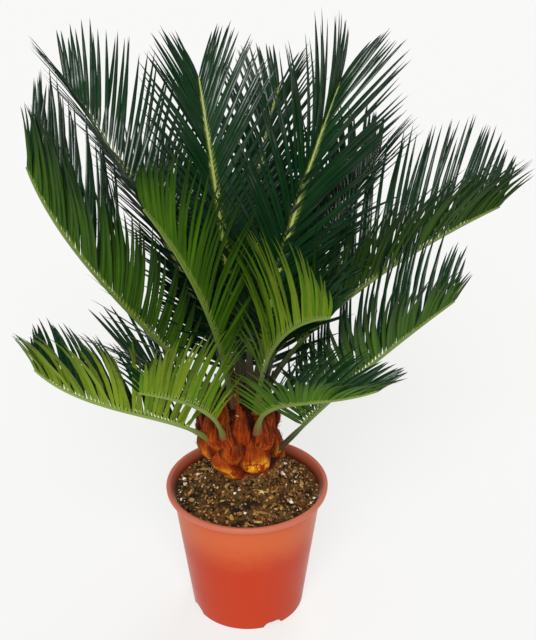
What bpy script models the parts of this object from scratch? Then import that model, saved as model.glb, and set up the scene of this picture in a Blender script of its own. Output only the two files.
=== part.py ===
"""A young sago palm in a round plastic nursery pot, in metres with +Z up.

The origin is the middle of the pot's flat bottom, and the plant's front faces -Y. Headings are in
degrees: 0 is +X, 90 is +Y at the back, 270 is the front.
"""

import math
from dataclasses import dataclass

import bmesh
import bpy
import numpy as np
from mathutils import Vector, noise
from mathutils.bvhtree import BVHTree

# Clearance between pieces that touch
GAP = 0.0003

# Pot
RIM_RADIUS = 0.085
POT_HEIGHT = 0.150
BASE_RADIUS = 0.060
BASE_EDGE = 0.0015
LIP_WIDTH = 0.0052
LIP_OVERHANG = 0.0058
LIP_HEIGHT = 0.0065
LIP_CURL = 0.0022
LIP_FILLET = 0.003
LIP_STEPS = 6
WALL = 0.0022
FLOOR = 0.003
POT_SIDES = 48
NOTCH_COUNT = 4
NOTCH_WIDTH = 0.021
NOTCH_HEIGHT = 0.007
NOTCH_DEPTH = 0.016
FIRST_NOTCH = 297.0

# Soil
SOIL_EDGE_HEIGHT = 0.140
SOIL_MOUND = 0.021
SOIL_LUMP = 0.0022
LUMPS_PER_METRE = 90
LUMP_LAYER = 0.3
SOIL_RINGS = 7
SOIL_SIDES = 32

# Trunk
ROOT_BOTTOM = 0.112
ROOT_RADIUS = 0.029
NECK_TOP = 0.165
ROOT_X = 0.004
CROWN_X = -0.008
CROWN_TOP = 0.264
LEAN_FROM = 0.166
LEAN_TO = 0.205
# The trunk's height and radius under its leaf bases, from the neck up to the crown
TRUNK_OUTLINE = [
    (NECK_TOP, ROOT_RADIUS),
    (0.174, 0.0315),
    (0.184, 0.0335),
    (0.200, 0.0365),
    (0.225, 0.0375),
    (0.245, 0.034),
    (0.256, 0.025),
    (0.262, 0.014),
]

# Old leaf bases on the trunk
BASE_TURN = 137.5
BASE_JITTER = 0.003
BASE_SUNK = 0.001
BASE_VARIATION = 0.3
SHOULDER_HEIGHT = 0.252

# Upright stubs in the crown: heading, distance from the trunk's middle, height of the top, and its lean
STUB_FOOT = 0.235
STUB_RADIUS = 0.0032
STUB_TIP = 0.25
STUBS = [
    (268, 0.031, 0.296, 0.004),
    (250, 0.033, 0.276, 0.003),
    (312, 0.033, 0.272, 0.006),
    (222, 0.034, 0.266, 0.006),
    (340, 0.033, 0.268, 0.006),
    (30, 0.033, 0.272, 0.006),
    (75, 0.022, 0.278, 0.005),
    (150, 0.033, 0.270, 0.006),
]

# Fronds
ROOT_DIVE = 0.010
ROOT_INWARD = 0.012
INNER_REACH = 18
OUTER_REACH = 46
STALK_HALF_WIDTH = 0.0027
STALK_TIP_HALF_WIDTH = 0.0009
STALK_DEPTH = 0.0030
STALK_TIP_DEPTH = 0.0010
STALK_SHOULDER = 0.0013
BLADE = 0.0011
LEAFLET_PITCH = 0.0124
LEAFLET_FOOT = 0.42
LEAFLET_WIDTH = 0.66
LEAFLET_KNEE = 0.62
LEAFLET_BOW = 0.03
LEAST_PAIRS = 6
LENGTHENING = 2.4
CLEARANCE = 0.0006
CURVE_STEPS = 96
UPTURN_POWER = 4
STALK_TEST_STATIONS = 24
# How a leaflet gives way to what it meets: the lengths and the turns in degrees that it tries
GIVE_LENGTHS = (1.0, 0.88, 0.76, 0.64, 0.5, 0.36, 0.24)
GIVE_TURNS = (6.0, 12.0, 18.0, 26.0)


@dataclass(frozen=True)
class Spiral:
    """Old leaf bases up a spiral, in metres, with their sizes at the lowest and at the highest one.

    Each base leans out by `lean` over its height, and narrows by `point` of its width to its top.
    """

    name: str
    count: int
    first_heading: float
    foot: tuple[float, float]
    tall: tuple[float, float]
    width: tuple[float, float]
    deep: tuple[float, float]
    lean: float
    point: float
    seed: float


SPIRALS = [
    Spiral("knob", 14, 242.0, foot=(0.176, 0.205), tall=(0.036, 0.044), width=(0.031, 0.027),
           deep=(0.023, 0.015), lean=0.0, point=0.45, seed=4.0),
    Spiral("scale_leaf", 14, 254.0, foot=(0.202, 0.226), tall=(0.048, 0.044), width=(0.020, 0.015),
           deep=(0.010, 0.008), lean=0.006, point=0.75, seed=9.0),
]


@dataclass(frozen=True)
class Frond:
    """One frond: where it leaves the trunk, how it arches, and how its two rows of leaflets stand.

    Angles are in degrees and lengths in millimetres. The heading goes from `heading` by `swing` over
    the length, and the steepness from `rise` to `fall`. `vee` is how far the leaflets stand up from
    the stalk's sides, and `low` and `high` are their angles to the stalk at its two ends. Past `full`
    they shorten to `tip` of their length, the lowest ones start at `first` of it, and the left row is
    `left` times as long as the right one. `upturn` is how much steeper the stalk's tip turns.
    """

    heading: float
    swing: float
    rise: float
    fall: float
    length: float
    reach: float
    height: float
    bend: float = 1.3
    petiole: float = 60.0
    base_heading: float | None = None
    roll: float = 0.0
    vee: float = 35.0
    longest: float = 105.0
    low: float = 75.0
    high: float = 25.0
    full: float = 0.55
    tip: float = 0.38
    left: float = 1.0
    first: float = 0.42
    upturn: float = 0.0


FRONDS = [
    Frond(142, 5, 64, 46, 350, 18, 258, bend=0.8, petiole=65, longest=130, vee=36, full=0.5),
    Frond(198, -30, 51, 74, 302, 28, 255, bend=4, longest=120, vee=52, roll=8, low=60, high=30, full=0.6,
          tip=0.5, left=0.95, first=0.7),
    Frond(238, 0, 80, 50, 280, 25, 255, bend=0.8, petiole=62, longest=98, vee=58, roll=20, low=65,
          high=22, full=0.4, first=0.55),
    Frond(290, 14, 84, 24, 215, 34, 255, bend=0.8, petiole=48, longest=112, vee=58, roll=-20, high=60,
          full=0.15, tip=0.25, first=0.5),
    Frond(0, 25, 72, 15, 306, 20, 260, bend=0.6, petiole=60, longest=108, vee=57, roll=-2, low=52, tip=0.32,
          left=1.25),
    Frond(338, 20, 53, 41, 246, 36, 200, petiole=45, vee=45),
    Frond(278, 74, 80, 2, 188, 42, 234, bend=0.55, petiole=35, base_heading=286, longest=72, vee=42,
          low=85, high=12, tip=0.9, upturn=24),
    Frond(252, -42, 74, 24, 153, 43, 224, bend=0.6, petiole=40, base_heading=240, longest=80, vee=40,
          roll=30, low=80, high=65, tip=0.3),
    Frond(236, -80, 70, 2, 216, 40, 207, bend=0.5, petiole=50, base_heading=213, longest=90, vee=42,
          roll=22, low=85, tip=0.35, upturn=34),
    Frond(160, 5, 28, 18, 96, 34, 232, petiole=30, longest=85, low=60, tip=0.8),
    Frond(120, -15, 80, 55, 310, 14, 262, petiole=55, longest=118, vee=30, low=65, first=0.55),
    Frond(36, 18, 79, 52, 315, 12, 262, petiole=60, longest=132, vee=40, roll=45, low=58, high=18,
          first=0.55),
    Frond(32, 14, 75, 38, 268, 20, 260, bend=0.8, petiole=50, base_heading=28, longest=110, tip=0.3),
    Frond(93, -25, 74, 42, 310, 14, 262, petiole=45, base_heading=76),
    Frond(128, 0, 62, 25, 270, 26, 250, petiole=40),
    Frond(95, 0, 55, 18, 260, 34, 240, petiole=35),
    Frond(62, 0, 60, 22, 240, 30, 245, petiole=35),
]


def clear_scene():
    """Remove whatever the scene holds."""
    for obj in list(bpy.data.objects):
        bpy.data.objects.remove(obj, do_unlink=True)


def new_collection(name, hidden=False):
    """A collection under the scene's own one."""
    collection = bpy.data.collections.new(name)
    bpy.context.scene.collection.children.link(collection)
    collection.hide_render = hidden
    return collection


def material(name, colour, roughness):
    """A plain Principled material."""
    made = bpy.data.materials.new(name)
    made.use_nodes = True
    shader = made.node_tree.nodes["Principled BSDF"]
    shader.inputs["Base Color"].default_value = (*colour, 1.0)
    shader.inputs["Roughness"].default_value = roughness
    return made


def object_of(name, mesh, collection, finish=None):
    """A new object for this mesh, in this collection."""
    obj = bpy.data.objects.new(name, mesh)
    collection.objects.link(obj)
    if finish:
        mesh.materials.append(finish)
    return obj


def mesh_of(name, bm):
    """The bmesh as a mesh, with its faces turned outwards."""
    bm.normal_update()
    bmesh.ops.recalc_face_normals(bm, faces=bm.faces)
    mesh = bpy.data.meshes.new(name)
    bm.to_mesh(mesh)
    bm.free()
    return mesh


def evaluated_mesh(obj):
    """A copy of the object's mesh with its modifiers applied."""
    bpy.context.view_layer.update()
    graph = bpy.context.evaluated_depsgraph_get()
    return bpy.data.meshes.new_from_object(obj.evaluated_get(graph))


def turned(name, profile, sides, collection):
    """A turned solid from (radius, height) points that run down its outer side."""
    mesh = bpy.data.meshes.new(name)
    points = [(radius, 0.0, height) for radius, height in profile]
    mesh.from_pydata(points, [(i, i + 1) for i in range(len(points) - 1)], [])
    obj = object_of(name, mesh, collection)
    screw = obj.modifiers.new("Turn", "SCREW")
    screw.steps = sides
    screw.render_steps = sides
    screw.use_merge_vertices = True
    screw.merge_threshold = 0.00001
    obj.data = evaluated_mesh(obj)
    obj.modifiers.clear()
    bpy.data.meshes.remove(mesh)
    return obj


def smooth_step(value, low, high):
    """0 below `low`, 1 above `high`, and smooth between them."""
    part = min(1.0, max(0.0, (value - low) / (high - low)))
    return part * part * (3.0 - 2.0 * part)


def outward(heading):
    """The level unit vector at this heading."""
    return Vector((math.cos(math.radians(heading)), math.sin(math.radians(heading)), 0.0))


def wall_radius(height):
    """The outer radius of the pot's wall at this height."""
    top = RIM_RADIUS - LIP_OVERHANG
    return BASE_RADIUS + (top - BASE_RADIUS) * height / POT_HEIGHT


def make_pot(parts, cutters):
    """The moulded pot: flat floor, tapered wall, rounded lip, and drain notches round the bottom edge."""
    lip_bottom = POT_HEIGHT - LIP_HEIGHT
    under_lip = lip_bottom - LIP_FILLET
    bead = LIP_WIDTH / 2
    middle = RIM_RADIUS - bead
    inner_wall = wall_radius(SOIL_EDGE_HEIGHT) - WALL
    profile = [(0.0, FLOOR), (wall_radius(FLOOR) - WALL, FLOOR), (inner_wall, SOIL_EDGE_HEIGHT)]
    for step in range(LIP_STEPS + 1):
        angle = math.pi * (1 - step / LIP_STEPS)
        profile.append((middle + bead * math.cos(angle), POT_HEIGHT - bead + bead * math.sin(angle)))
    profile += [(RIM_RADIUS - LIP_CURL / 5, lip_bottom + LIP_CURL), (RIM_RADIUS - LIP_CURL, lip_bottom)]
    profile += [(wall_radius(lip_bottom) + LIP_FILLET / 4, lip_bottom - LIP_FILLET / 4)]
    profile += [(wall_radius(under_lip), under_lip), (wall_radius(BASE_EDGE), BASE_EDGE)]
    profile += [(BASE_RADIUS - BASE_EDGE, 0.0), (0.0, 0.0)]
    pot = turned("pot", profile, POT_SIDES, parts)
    pot.data.materials.append(material("pot_plastic", (0.66, 0.115, 0.035), 0.42))
    for index in range(NOTCH_COUNT):
        heading = FIRST_NOTCH + 360.0 * index / NOTCH_COUNT
        bpy.ops.mesh.primitive_cylinder_add(vertices=16, radius=NOTCH_WIDTH / 2, depth=NOTCH_DEPTH)
        cutter = bpy.context.object
        cutter.name = f"notch_cutter_{index + 1}"
        cutter.data.transform(outward(heading).to_track_quat("Z", "Y").to_matrix().to_4x4())
        for vertex in cutter.data.vertices:
            vertex.co.z *= 2 * NOTCH_HEIGHT / NOTCH_WIDTH
        cutter.location = outward(heading) * BASE_RADIUS
        for collection in list(cutter.users_collection):
            collection.objects.unlink(cutter)
        cutters.objects.link(cutter)
        cutter.hide_render = True
        cutter.display_type = "WIRE"
        cut = pot.modifiers.new(f"Notch {index + 1}", "BOOLEAN")
        cut.operation = "DIFFERENCE"
        cut.object = cutter
        cut.solver = "MANIFOLD"
    pot.data.shade_smooth()
    pot.data.set_sharp_from_angle(angle=math.radians(35))
    return pot


def make_soil(parts):
    """The potting mix: it fills the pot below the rim, rises to the trunk, and has a plain hole for it."""
    hole = ROOT_RADIUS + GAP
    hole_bottom = ROOT_BOTTOM - GAP
    edge = wall_radius(SOIL_EDGE_HEIGHT) - WALL - GAP
    bottom = FLOOR + GAP
    mound_top = SOIL_EDGE_HEIGHT + SOIL_MOUND
    profile = [(0.0, hole_bottom), (hole, hole_bottom)]
    for step in range(SOIL_RINGS + 1):
        part = step / SOIL_RINGS
        height = mound_top - SOIL_MOUND * smooth_step(part, 0.0, 0.9)
        profile.append((hole + (edge - hole) * part, height))
    profile += [(wall_radius(bottom) - WALL - GAP, bottom), (0.0, bottom)]
    soil = turned("soil", profile, SOIL_SIDES, parts)
    for vertex in soil.data.vertices:
        if vertex.co.z < ROOT_BOTTOM / 2:
            continue
        part = (vertex.co.xy.length - hole) / (edge - hole)
        vertex.co.x += ROOT_X * (1 - smooth_step(part, 0.0, 1.0))
        lump = noise.noise(Vector((vertex.co.x, vertex.co.y, LUMP_LAYER)) * LUMPS_PER_METRE)
        vertex.co.z += SOIL_LUMP * lump * smooth_step(part, 0.0, 0.1) * smooth_step(part, 1.0, 0.9)
    soil.data.materials.append(material("potting_mix", (0.045, 0.026, 0.014), 0.95))
    return soil


def trunk_axis(height):
    """The trunk's middle at this height: it leans a little to the left above the soil."""
    lean = smooth_step(height, LEAN_FROM, LEAN_TO)
    return Vector((ROOT_X + (CROWN_X - ROOT_X) * lean, 0.0, height))


def trunk_radius(height):
    """The radius of the trunk under its leaf bases, above the soil."""
    heights, radii = zip(*TRUNK_OUTLINE)
    return float(np.interp(height, heights, radii))


def between(ends, part):
    """The value this far, from 0 to 1, between the two ends."""
    return ends[0] + (ends[1] - ends[0]) * part


def add_base(spiral, index, collection):
    """One old leaf base: a round knob at the bottom that runs up into a point, against the trunk."""
    part = index / (spiral.count - 1)
    out = outward(spiral.first_heading + BASE_TURN * index)
    side = Vector((-out.y, out.x, 0.0))
    foot = between(spiral.foot, part) + BASE_JITTER * noise.noise(Vector((index * 1.7, spiral.seed, 0.0)))
    size = 1.0 + BASE_VARIATION * noise.noise(Vector((index * 2.9, spiral.seed, 3.0)))
    bm = bmesh.new()
    bmesh.ops.create_uvsphere(bm, u_segments=6, v_segments=5, radius=1.0)
    for vertex in bm.verts:
        across, depth, up = vertex.co
        rise = (up + 1) / 2
        narrow = 1.0 - spiral.point * smooth_step(rise, 0.4, 1.0)
        height = foot + between(spiral.tall, part) * size * rise
        carried = trunk_radius(min(height, SHOULDER_HEIGHT)) - BASE_SUNK + spiral.lean * rise
        distance = carried + between(spiral.deep, part) / 2 * depth * narrow
        sideways = between(spiral.width, part) / 2 * size * across * narrow
        vertex.co = trunk_axis(height) + out * distance + side * sideways
    return object_of(f"{spiral.name}_{index + 1}", mesh_of(spiral.name, bm), collection)


def add_stub(name, heading, reach, top_height, lean, collection):
    """A thin upright stub, the rest of an old scale leaf, in the crown."""
    middle = trunk_axis(STUB_FOOT)
    foot = middle + outward(heading) * reach
    top = middle + outward(heading) * (reach + lean)
    top.z = top_height
    along = top - foot
    bm = bmesh.new()
    bmesh.ops.create_cone(bm, cap_ends=True, segments=5, radius1=STUB_RADIUS,
                          radius2=STUB_RADIUS * STUB_TIP, depth=along.length)
    bmesh.ops.rotate(bm, verts=bm.verts, matrix=along.to_track_quat("Z", "Y").to_matrix())
    bmesh.ops.translate(bm, verts=bm.verts, vec=(foot + top) / 2)
    return object_of(name, mesh_of(name, bm), collection)


def largest_piece(mesh):
    """Keep the mesh's biggest connected body and drop loose scraps."""
    bm = bmesh.new()
    bm.from_mesh(mesh)
    left = set(bm.verts)
    bodies = []
    while left:
        start = left.pop()
        body = {start}
        edge = [start]
        while edge:
            vertex = edge.pop()
            for link in vertex.link_edges:
                other = link.other_vert(vertex)
                if other in left:
                    left.discard(other)
                    body.add(other)
                    edge.append(other)
        bodies.append(body)
    bodies.sort(key=len)
    for body in bodies[:-1]:
        bmesh.ops.delete(bm, geom=list(body), context="VERTS")
    bm.to_mesh(mesh)
    bm.free()


def combine(obj, helpers, operation):
    """Join the helpers to the object, or cut them from it, and then remove them."""
    boolean = obj.modifiers.new("Combine", "BOOLEAN")
    boolean.operation = operation
    boolean.operand_type = "COLLECTION"
    boolean.collection = helpers
    boolean.solver = "MANIFOLD"
    before = obj.data
    made = evaluated_mesh(obj)
    obj.modifiers.clear()
    obj.data = made
    bpy.data.meshes.remove(before)
    for helper in list(helpers.objects):
        bpy.data.objects.remove(helper, do_unlink=True)
    bpy.data.collections.remove(helpers)


def make_trunk(parts, curves):
    """The trunk: a neck in the soil, leaf bases up a spiral, upright stubs, and a socket for each frond."""
    profile = [(0.0, CROWN_TOP)]
    profile += [(radius, height) for height, radius in reversed(TRUNK_OUTLINE)]
    profile += [(ROOT_RADIUS, ROOT_BOTTOM), (0.0, ROOT_BOTTOM)]
    trunk = turned("caudex", profile, SOIL_SIDES, parts)
    for vertex in trunk.data.vertices:
        vertex.co.x += trunk_axis(vertex.co.z).x
    bases = new_collection("leaf_bases")
    for spiral in SPIRALS:
        for index in range(spiral.count):
            add_base(spiral, index, bases)
    for index, stub in enumerate(STUBS):
        add_stub(f"stub_{index + 1}", *stub, bases)
    combine(trunk, bases, "UNION")
    largest_piece(trunk.data)
    sockets = new_collection("sockets")
    for index, curve in enumerate(curves):
        bm = bmesh.new()
        stalk(bm, curve, curve.petiole_stations(), grow=CLEARANCE)
        object_of(f"socket_{index + 1}", mesh_of("socket", bm), sockets)
    combine(trunk, sockets, "DIFFERENCE")
    largest_piece(trunk.data)
    trunk.data.materials.clear()
    trunk.data.materials.append(material("felted_leaf_bases", (0.40, 0.12, 0.02), 0.9))
    return trunk


class Curve:
    """A frond's path through space, with the directions along it, upward from it and to its side."""

    def __init__(self, frond):
        self.frond = frond
        self.length = frond.length / 1000
        self.places = np.linspace(0.0, 1.0, CURVE_STEPS + 1)
        along, up, side = self.directions(self.places)
        middle, _, _ = self.directions((self.places[1:] + self.places[:-1]) / 2)
        base_heading = frond.heading if frond.base_heading is None else frond.base_heading
        self.out = outward(base_heading)
        base = np.array(self.out) * frond.reach / 1000
        base[2] = frond.height / 1000
        steps = np.cumsum(middle * self.length / CURVE_STEPS, axis=0)
        self.table = np.hstack([np.vstack([base, base + steps]), along, up, side])

    def directions(self, place):
        """Unit vectors along the stalk, upward from it and to its side, at places from 0 to 1."""
        frond = self.frond
        steep = frond.rise + (frond.fall - frond.rise) * place**frond.bend
        steep = np.radians(steep + frond.upturn * place**UPTURN_POWER)
        heading = np.radians(frond.heading + frond.swing * place)
        flat = np.cos(steep)
        along = np.stack([flat * np.cos(heading), flat * np.sin(heading), np.sin(steep)], 1)
        lift = np.sin(steep)
        up = np.stack([-lift * np.cos(heading), -lift * np.sin(heading), flat], 1)
        side = np.cross(along, up)
        roll = math.radians(frond.roll)
        level, tipped = math.cos(roll), math.sin(roll)
        return along, up * level + side * tipped, side * level - up * tipped

    def at(self, place):
        """Position, and the directions along, up and to the side, at a place from 0 to 1."""
        row = [float(np.interp(place, self.places, column)) for column in self.table.T]
        position = Vector(row[0:3])
        if place < 0:
            inward = self.out * ROOT_INWARD * smooth_step(self.frond.reach, INNER_REACH, OUTER_REACH)
            position = position - (Vector(row[3:6]) * ROOT_DIVE + inward) * min(1.0, -place)
        return position, Vector(row[3:6]), Vector(row[6:9]), Vector(row[9:12])

    def leafy(self, part):
        """The place on the stalk that lies this far, from 0 to 1, along the stretch with leaflets."""
        start = self.frond.petiole / self.frond.length
        return start + (1 - start) * part

    def pairs(self):
        """How many pairs of leaflets the frond has."""
        return max(LEAST_PAIRS, round((self.frond.length - self.frond.petiole) / 1000 / LEAFLET_PITCH))

    def petiole_stations(self):
        """The places of the stalk's rings below the first leaflet, from the root end."""
        start = self.leafy(0.0)
        return [-1.0, 0.0, start / 3, start * 2 / 3, start]


def section(curve, place, grow=0.0):
    """The five points round the stalk: a flat top, short upright sides and a keel below."""
    position, along, up, side = curve.at(place)
    part = max(0.0, place)
    bare = 1 - smooth_step(place, curve.leafy(0.0) * 0.6, curve.leafy(0.0))
    width = STALK_HALF_WIDTH + (STALK_TIP_HALF_WIDTH - STALK_HALF_WIDTH) * part + grow
    depth = STALK_DEPTH + (STALK_TIP_DEPTH - STALK_DEPTH) * part + grow
    shoulder = BLADE / 2 + (STALK_SHOULDER - BLADE / 2) * bare + grow
    top = [(-width, shoulder), (width, shoulder)]
    below = [(width, -shoulder), (0.0, -depth - shoulder), (-width, -shoulder)]
    return [position + side * across + up * high for across, high in top + below]


def two_triangles(bm, first, second, third, fourth):
    """A four-sided face, split from its first corner to its third."""
    bm.faces.new((first, second, third))
    bm.faces.new((first, third, fourth))


def stalk(bm, curve, stations, grow=0.0, leaflets=None):
    """The closed stalk through these places. `leaflets` gives the two blades that leave after a station."""
    rings = [[bm.verts.new(point) for point in section(curve, place, grow)] for place in stations]
    corners = len(rings[0])
    for number, (low, high) in enumerate(zip(rings, rings[1:])):
        blades = (leaflets or {}).get(number, {})
        for corner in range(corners):
            after = (corner + 1) % corners
            if corner in blades:
                blades[corner].grow_from(bm, [low[corner], low[after], high[after], high[corner]])
                continue
            two_triangles(bm, low[corner], low[after], high[after], high[corner])
    for ring in (rings[0], rings[-1]):
        two_triangles(bm, ring[4], ring[0], ring[1], ring[2])
        bm.faces.new((ring[4], ring[2], ring[3]))


class Leaflet:
    """One narrow blade: a foot on the stalk's side, a knee two thirds of the way out, and a point."""

    RIGHT_SIDE = 1
    LEFT_SIDE = 4

    def __init__(self, curve, part, side, pitch, more_vee=0.0, more_angle=0.0, scale=1.0, grow=0.0):
        frond = curve.frond
        self.side = side
        position, along, up, across = curve.at(curve.leafy(part))
        vee = math.radians(frond.vee + more_vee)
        angle = math.radians(frond.low + (frond.high - frond.low) * part + more_angle)
        out = across * side * math.cos(vee) + up * math.sin(vee)
        direction = along * math.cos(angle) + out * math.sin(angle)
        flat = up * math.cos(vee) - across * side * math.sin(vee)
        fade = max(0.0, (part - frond.full) / (1 - frond.full))
        length = frond.longest / 1000 * min(1.0, frond.first + LENGTHENING * part)
        length *= 1 - (1 - frond.tip) * fade**2
        length *= scale * (frond.left if side < 0 else 1.0)
        width = STALK_HALF_WIDTH + (STALK_TIP_HALF_WIDTH - STALK_HALF_WIDTH) * curve.leafy(part)
        foot = position + across * side * width
        middle = foot + direction * length * LEAFLET_KNEE + flat * LEAFLET_BOW * length
        half_width = along * (LEAFLET_WIDTH * pitch / 2 + grow)
        half_thick = flat * (BLADE / 2 + grow)
        self.knee = [
            middle - half_width + half_thick,
            middle + half_width + half_thick,
            middle + half_width - half_thick,
            middle - half_width - half_thick,
        ]
        self.point = foot + direction * (length + grow)
        half_foot = along * (LEAFLET_FOOT * pitch / 2 + grow)
        self.foot = [foot - half_foot + half_thick, foot + half_foot + half_thick]
        self.foot += [foot + half_foot - half_thick, foot - half_foot - half_thick]

    def grow_from(self, bm, base):
        """Build the blade out of the stalk's open side face, whose corners are `base`."""
        knee = [bm.verts.new(point) for point in self.knee]
        tip = bm.verts.new(self.point)
        if self.side > 0:
            top_low, bottom_low, bottom_high, top_high = base
        else:
            bottom_low, top_low, top_high, bottom_high = base
        foot = [top_low, top_high, bottom_high, bottom_low]
        two_triangles(bm, foot[0], foot[1], knee[1], knee[0])
        two_triangles(bm, foot[3], foot[2], knee[2], knee[3])
        two_triangles(bm, foot[1], foot[2], knee[2], knee[1])
        two_triangles(bm, foot[3], foot[0], knee[0], knee[3])
        for first, second in ((0, 1), (1, 2), (2, 3), (3, 0)):
            bm.faces.new((knee[first], knee[second], tip))

    def tree(self):
        """The blade as a search tree, to test what it meets."""
        points = [*self.foot, *self.knee, self.point]
        faces = [(0, 1, 2, 3)]
        faces += [(i, (i + 1) % 4, 4 + (i + 1) % 4, 4 + i) for i in range(4)]
        faces += [(4 + i, 4 + (i + 1) % 4, 8) for i in range(4)]
        return BVHTree.FromPolygons(points, faces)


def leaflet_tries():
    """How a leaflet may give way to what it meets: first turned a little, then also shorter."""
    yield 0.0, 0.0, 1.0
    for scale in GIVE_LENGTHS:
        for turn in GIVE_TURNS:
            for more_vee, more_angle in ((turn, 0.0), (-turn, 0.0), (0.0, -turn), (0.0, turn), (turn, -turn)):
                yield more_vee, more_angle, scale


def clear_leaflet(curve, part, side, pitch, blocked):
    """The leaflet as near its own place as it goes without touching what is blocked, or None."""
    for more_vee, more_angle, scale in leaflet_tries():
        wider = Leaflet(curve, part, side, pitch, more_vee, more_angle, scale, grow=CLEARANCE)
        tree = wider.tree()
        if any(other.overlap(tree) for other in blocked):
            continue
        return Leaflet(curve, part, side, pitch, more_vee, more_angle, scale)
    return None


def tree_of(obj):
    """The object's mesh as a search tree."""
    bm = bmesh.new()
    bm.from_mesh(obj.data)
    tree = BVHTree.FromBMesh(bm)
    bm.free()
    return tree


def make_frond(name, curve, parts, finish, blocked):
    """One frond: its petiole and rachis with a leaflet on each side at every station."""
    count = curve.pairs()
    pitch = (1 - curve.leafy(0.0)) * curve.length / count
    stations = curve.petiole_stations()[:-1]
    leaflets = {}
    for number in range(count):
        part = (number + 0.5) / count
        blades = {}
        for side, corner in ((1, Leaflet.RIGHT_SIDE), (-1, Leaflet.LEFT_SIDE)):
            blade = clear_leaflet(curve, part, side, pitch, blocked)
            if blade:
                blades[corner] = blade
        half = LEAFLET_FOOT * pitch / curve.length / 2
        leaflets[len(stations)] = blades
        stations += [curve.leafy(part) - half, curve.leafy(part) + half]
    bm = bmesh.new()
    stalk(bm, curve, stations, leaflets=leaflets)
    return object_of(name, mesh_of(name, bm), parts, finish)


def main():
    """Build the pot, the soil, the trunk and the fronds."""
    clear_scene()
    parts = new_collection("Potted sago palm")
    cutters = new_collection("Cutters", hidden=True)
    curves = [Curve(frond) for frond in FRONDS]
    pot = make_pot(parts, cutters)
    soil = make_soil(parts)
    trunk = make_trunk(parts, curves)
    leaf = material("frond_green", (0.05, 0.17, 0.025), 0.45)
    fixed = [tree_of(pot), tree_of(soil), tree_of(trunk)]
    stalks = []
    for curve in curves:
        bm = bmesh.new()
        stalk(bm, curve, list(np.linspace(0.0, 1.0, STALK_TEST_STATIONS)), grow=CLEARANCE / 2)
        stalks.append(BVHTree.FromBMesh(bm))
        bm.free()
    grown = []
    for number, curve in enumerate(curves):
        others = [tree for index, tree in enumerate(stalks) if index != number]
        frond = make_frond(f"frond_{number + 1:02d}", curve, parts, leaf, fixed + others + grown)
        grown.append(tree_of(frond))


main()
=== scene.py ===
"""The looks of a young sago palm in a terracotta-coloured nursery pot.

The pot, the soil, the trunk and the fronds of the frame each get a finer piece that keeps their form.
Crumbs, perlite and scraps lie on the soil, and felt stands on the trunk. Lengths are in metres, the
plant faces -Y, and headings are in degrees: 0 is +X, 90 is +Y at the back, 270 is the front.
"""

import logging
import math
from dataclasses import dataclass
from enum import Enum
from functools import cache

import bmesh
import bpy
import numpy as np
from mathutils import Euler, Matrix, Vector, noise
from mathutils.bvhtree import BVHTree


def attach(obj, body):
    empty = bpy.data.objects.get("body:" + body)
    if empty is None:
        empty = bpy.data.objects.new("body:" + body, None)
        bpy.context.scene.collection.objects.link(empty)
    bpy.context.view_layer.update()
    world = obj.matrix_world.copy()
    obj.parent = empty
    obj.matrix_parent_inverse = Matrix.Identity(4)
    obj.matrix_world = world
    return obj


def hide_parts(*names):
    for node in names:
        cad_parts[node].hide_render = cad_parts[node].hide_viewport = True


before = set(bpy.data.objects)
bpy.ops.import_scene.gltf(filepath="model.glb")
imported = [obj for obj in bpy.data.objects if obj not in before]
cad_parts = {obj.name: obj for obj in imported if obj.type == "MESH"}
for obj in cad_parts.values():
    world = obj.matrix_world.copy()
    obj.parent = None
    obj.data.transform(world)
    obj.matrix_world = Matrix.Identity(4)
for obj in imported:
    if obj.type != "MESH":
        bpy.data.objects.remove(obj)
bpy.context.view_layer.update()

BODY = "root"
LOG = logging.getLogger("potted_sago_palm")

# The sizes that the pot, the soil and the trunk share
GAP = 0.0003
RIM_RADIUS = 0.085
POT_HEIGHT = 0.150
BASE_RADIUS = 0.060
LIP_OVERHANG = 0.0058
WALL = 0.0022
FLOOR = 0.003
SOIL_EDGE_HEIGHT = 0.140
SOIL_MOUND = 0.021
ROOT_X = 0.004
ROOT_RADIUS = 0.029
ROOT_BOTTOM = 0.112
NECK_TOP = 0.165

# Steps of this share of a turn spread numbers evenly
GOLDEN = 0.618

Colour = tuple[float, float, float]
Socket = bpy.types.NodeSocket
Feed = Socket | float | int | bool | tuple


class Slot(Enum):
    """The record's material slots."""

    POT = "pot_plastic"
    SOIL = "potting_mix"
    TRUNK = "leaf_base_felt"
    FROND = "frond"


def smooth_step(value: float, low: float, high: float) -> float:
    """0 at `low`, 1 at `high`, and smooth between them."""
    part = min(1.0, max(0.0, (value - low) / (high - low)))
    return part * part * (3.0 - 2.0 * part)


def outward(heading: float) -> Vector:
    """The level unit vector at this heading."""
    return Vector((math.cos(math.radians(heading)), math.sin(math.radians(heading)), 0.0))


def between(ends: tuple[float, float], part: float) -> float:
    """The value this far, from 0 to 1, between the two ends."""
    return ends[0] + (ends[1] - ends[0]) * part


def ring_noise(heading: float, around: float, up: float) -> float:
    """Noise, from -1 to 1, that closes round the trunk."""
    return noise.noise(Vector((math.cos(heading) * around, math.sin(heading) * around, up)))


def wall_radius(height: float) -> float:
    """The outer radius of the pot's wall at this height."""
    top = RIM_RADIUS - LIP_OVERHANG
    return BASE_RADIUS + (top - BASE_RADIUS) * height / POT_HEIGHT


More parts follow.
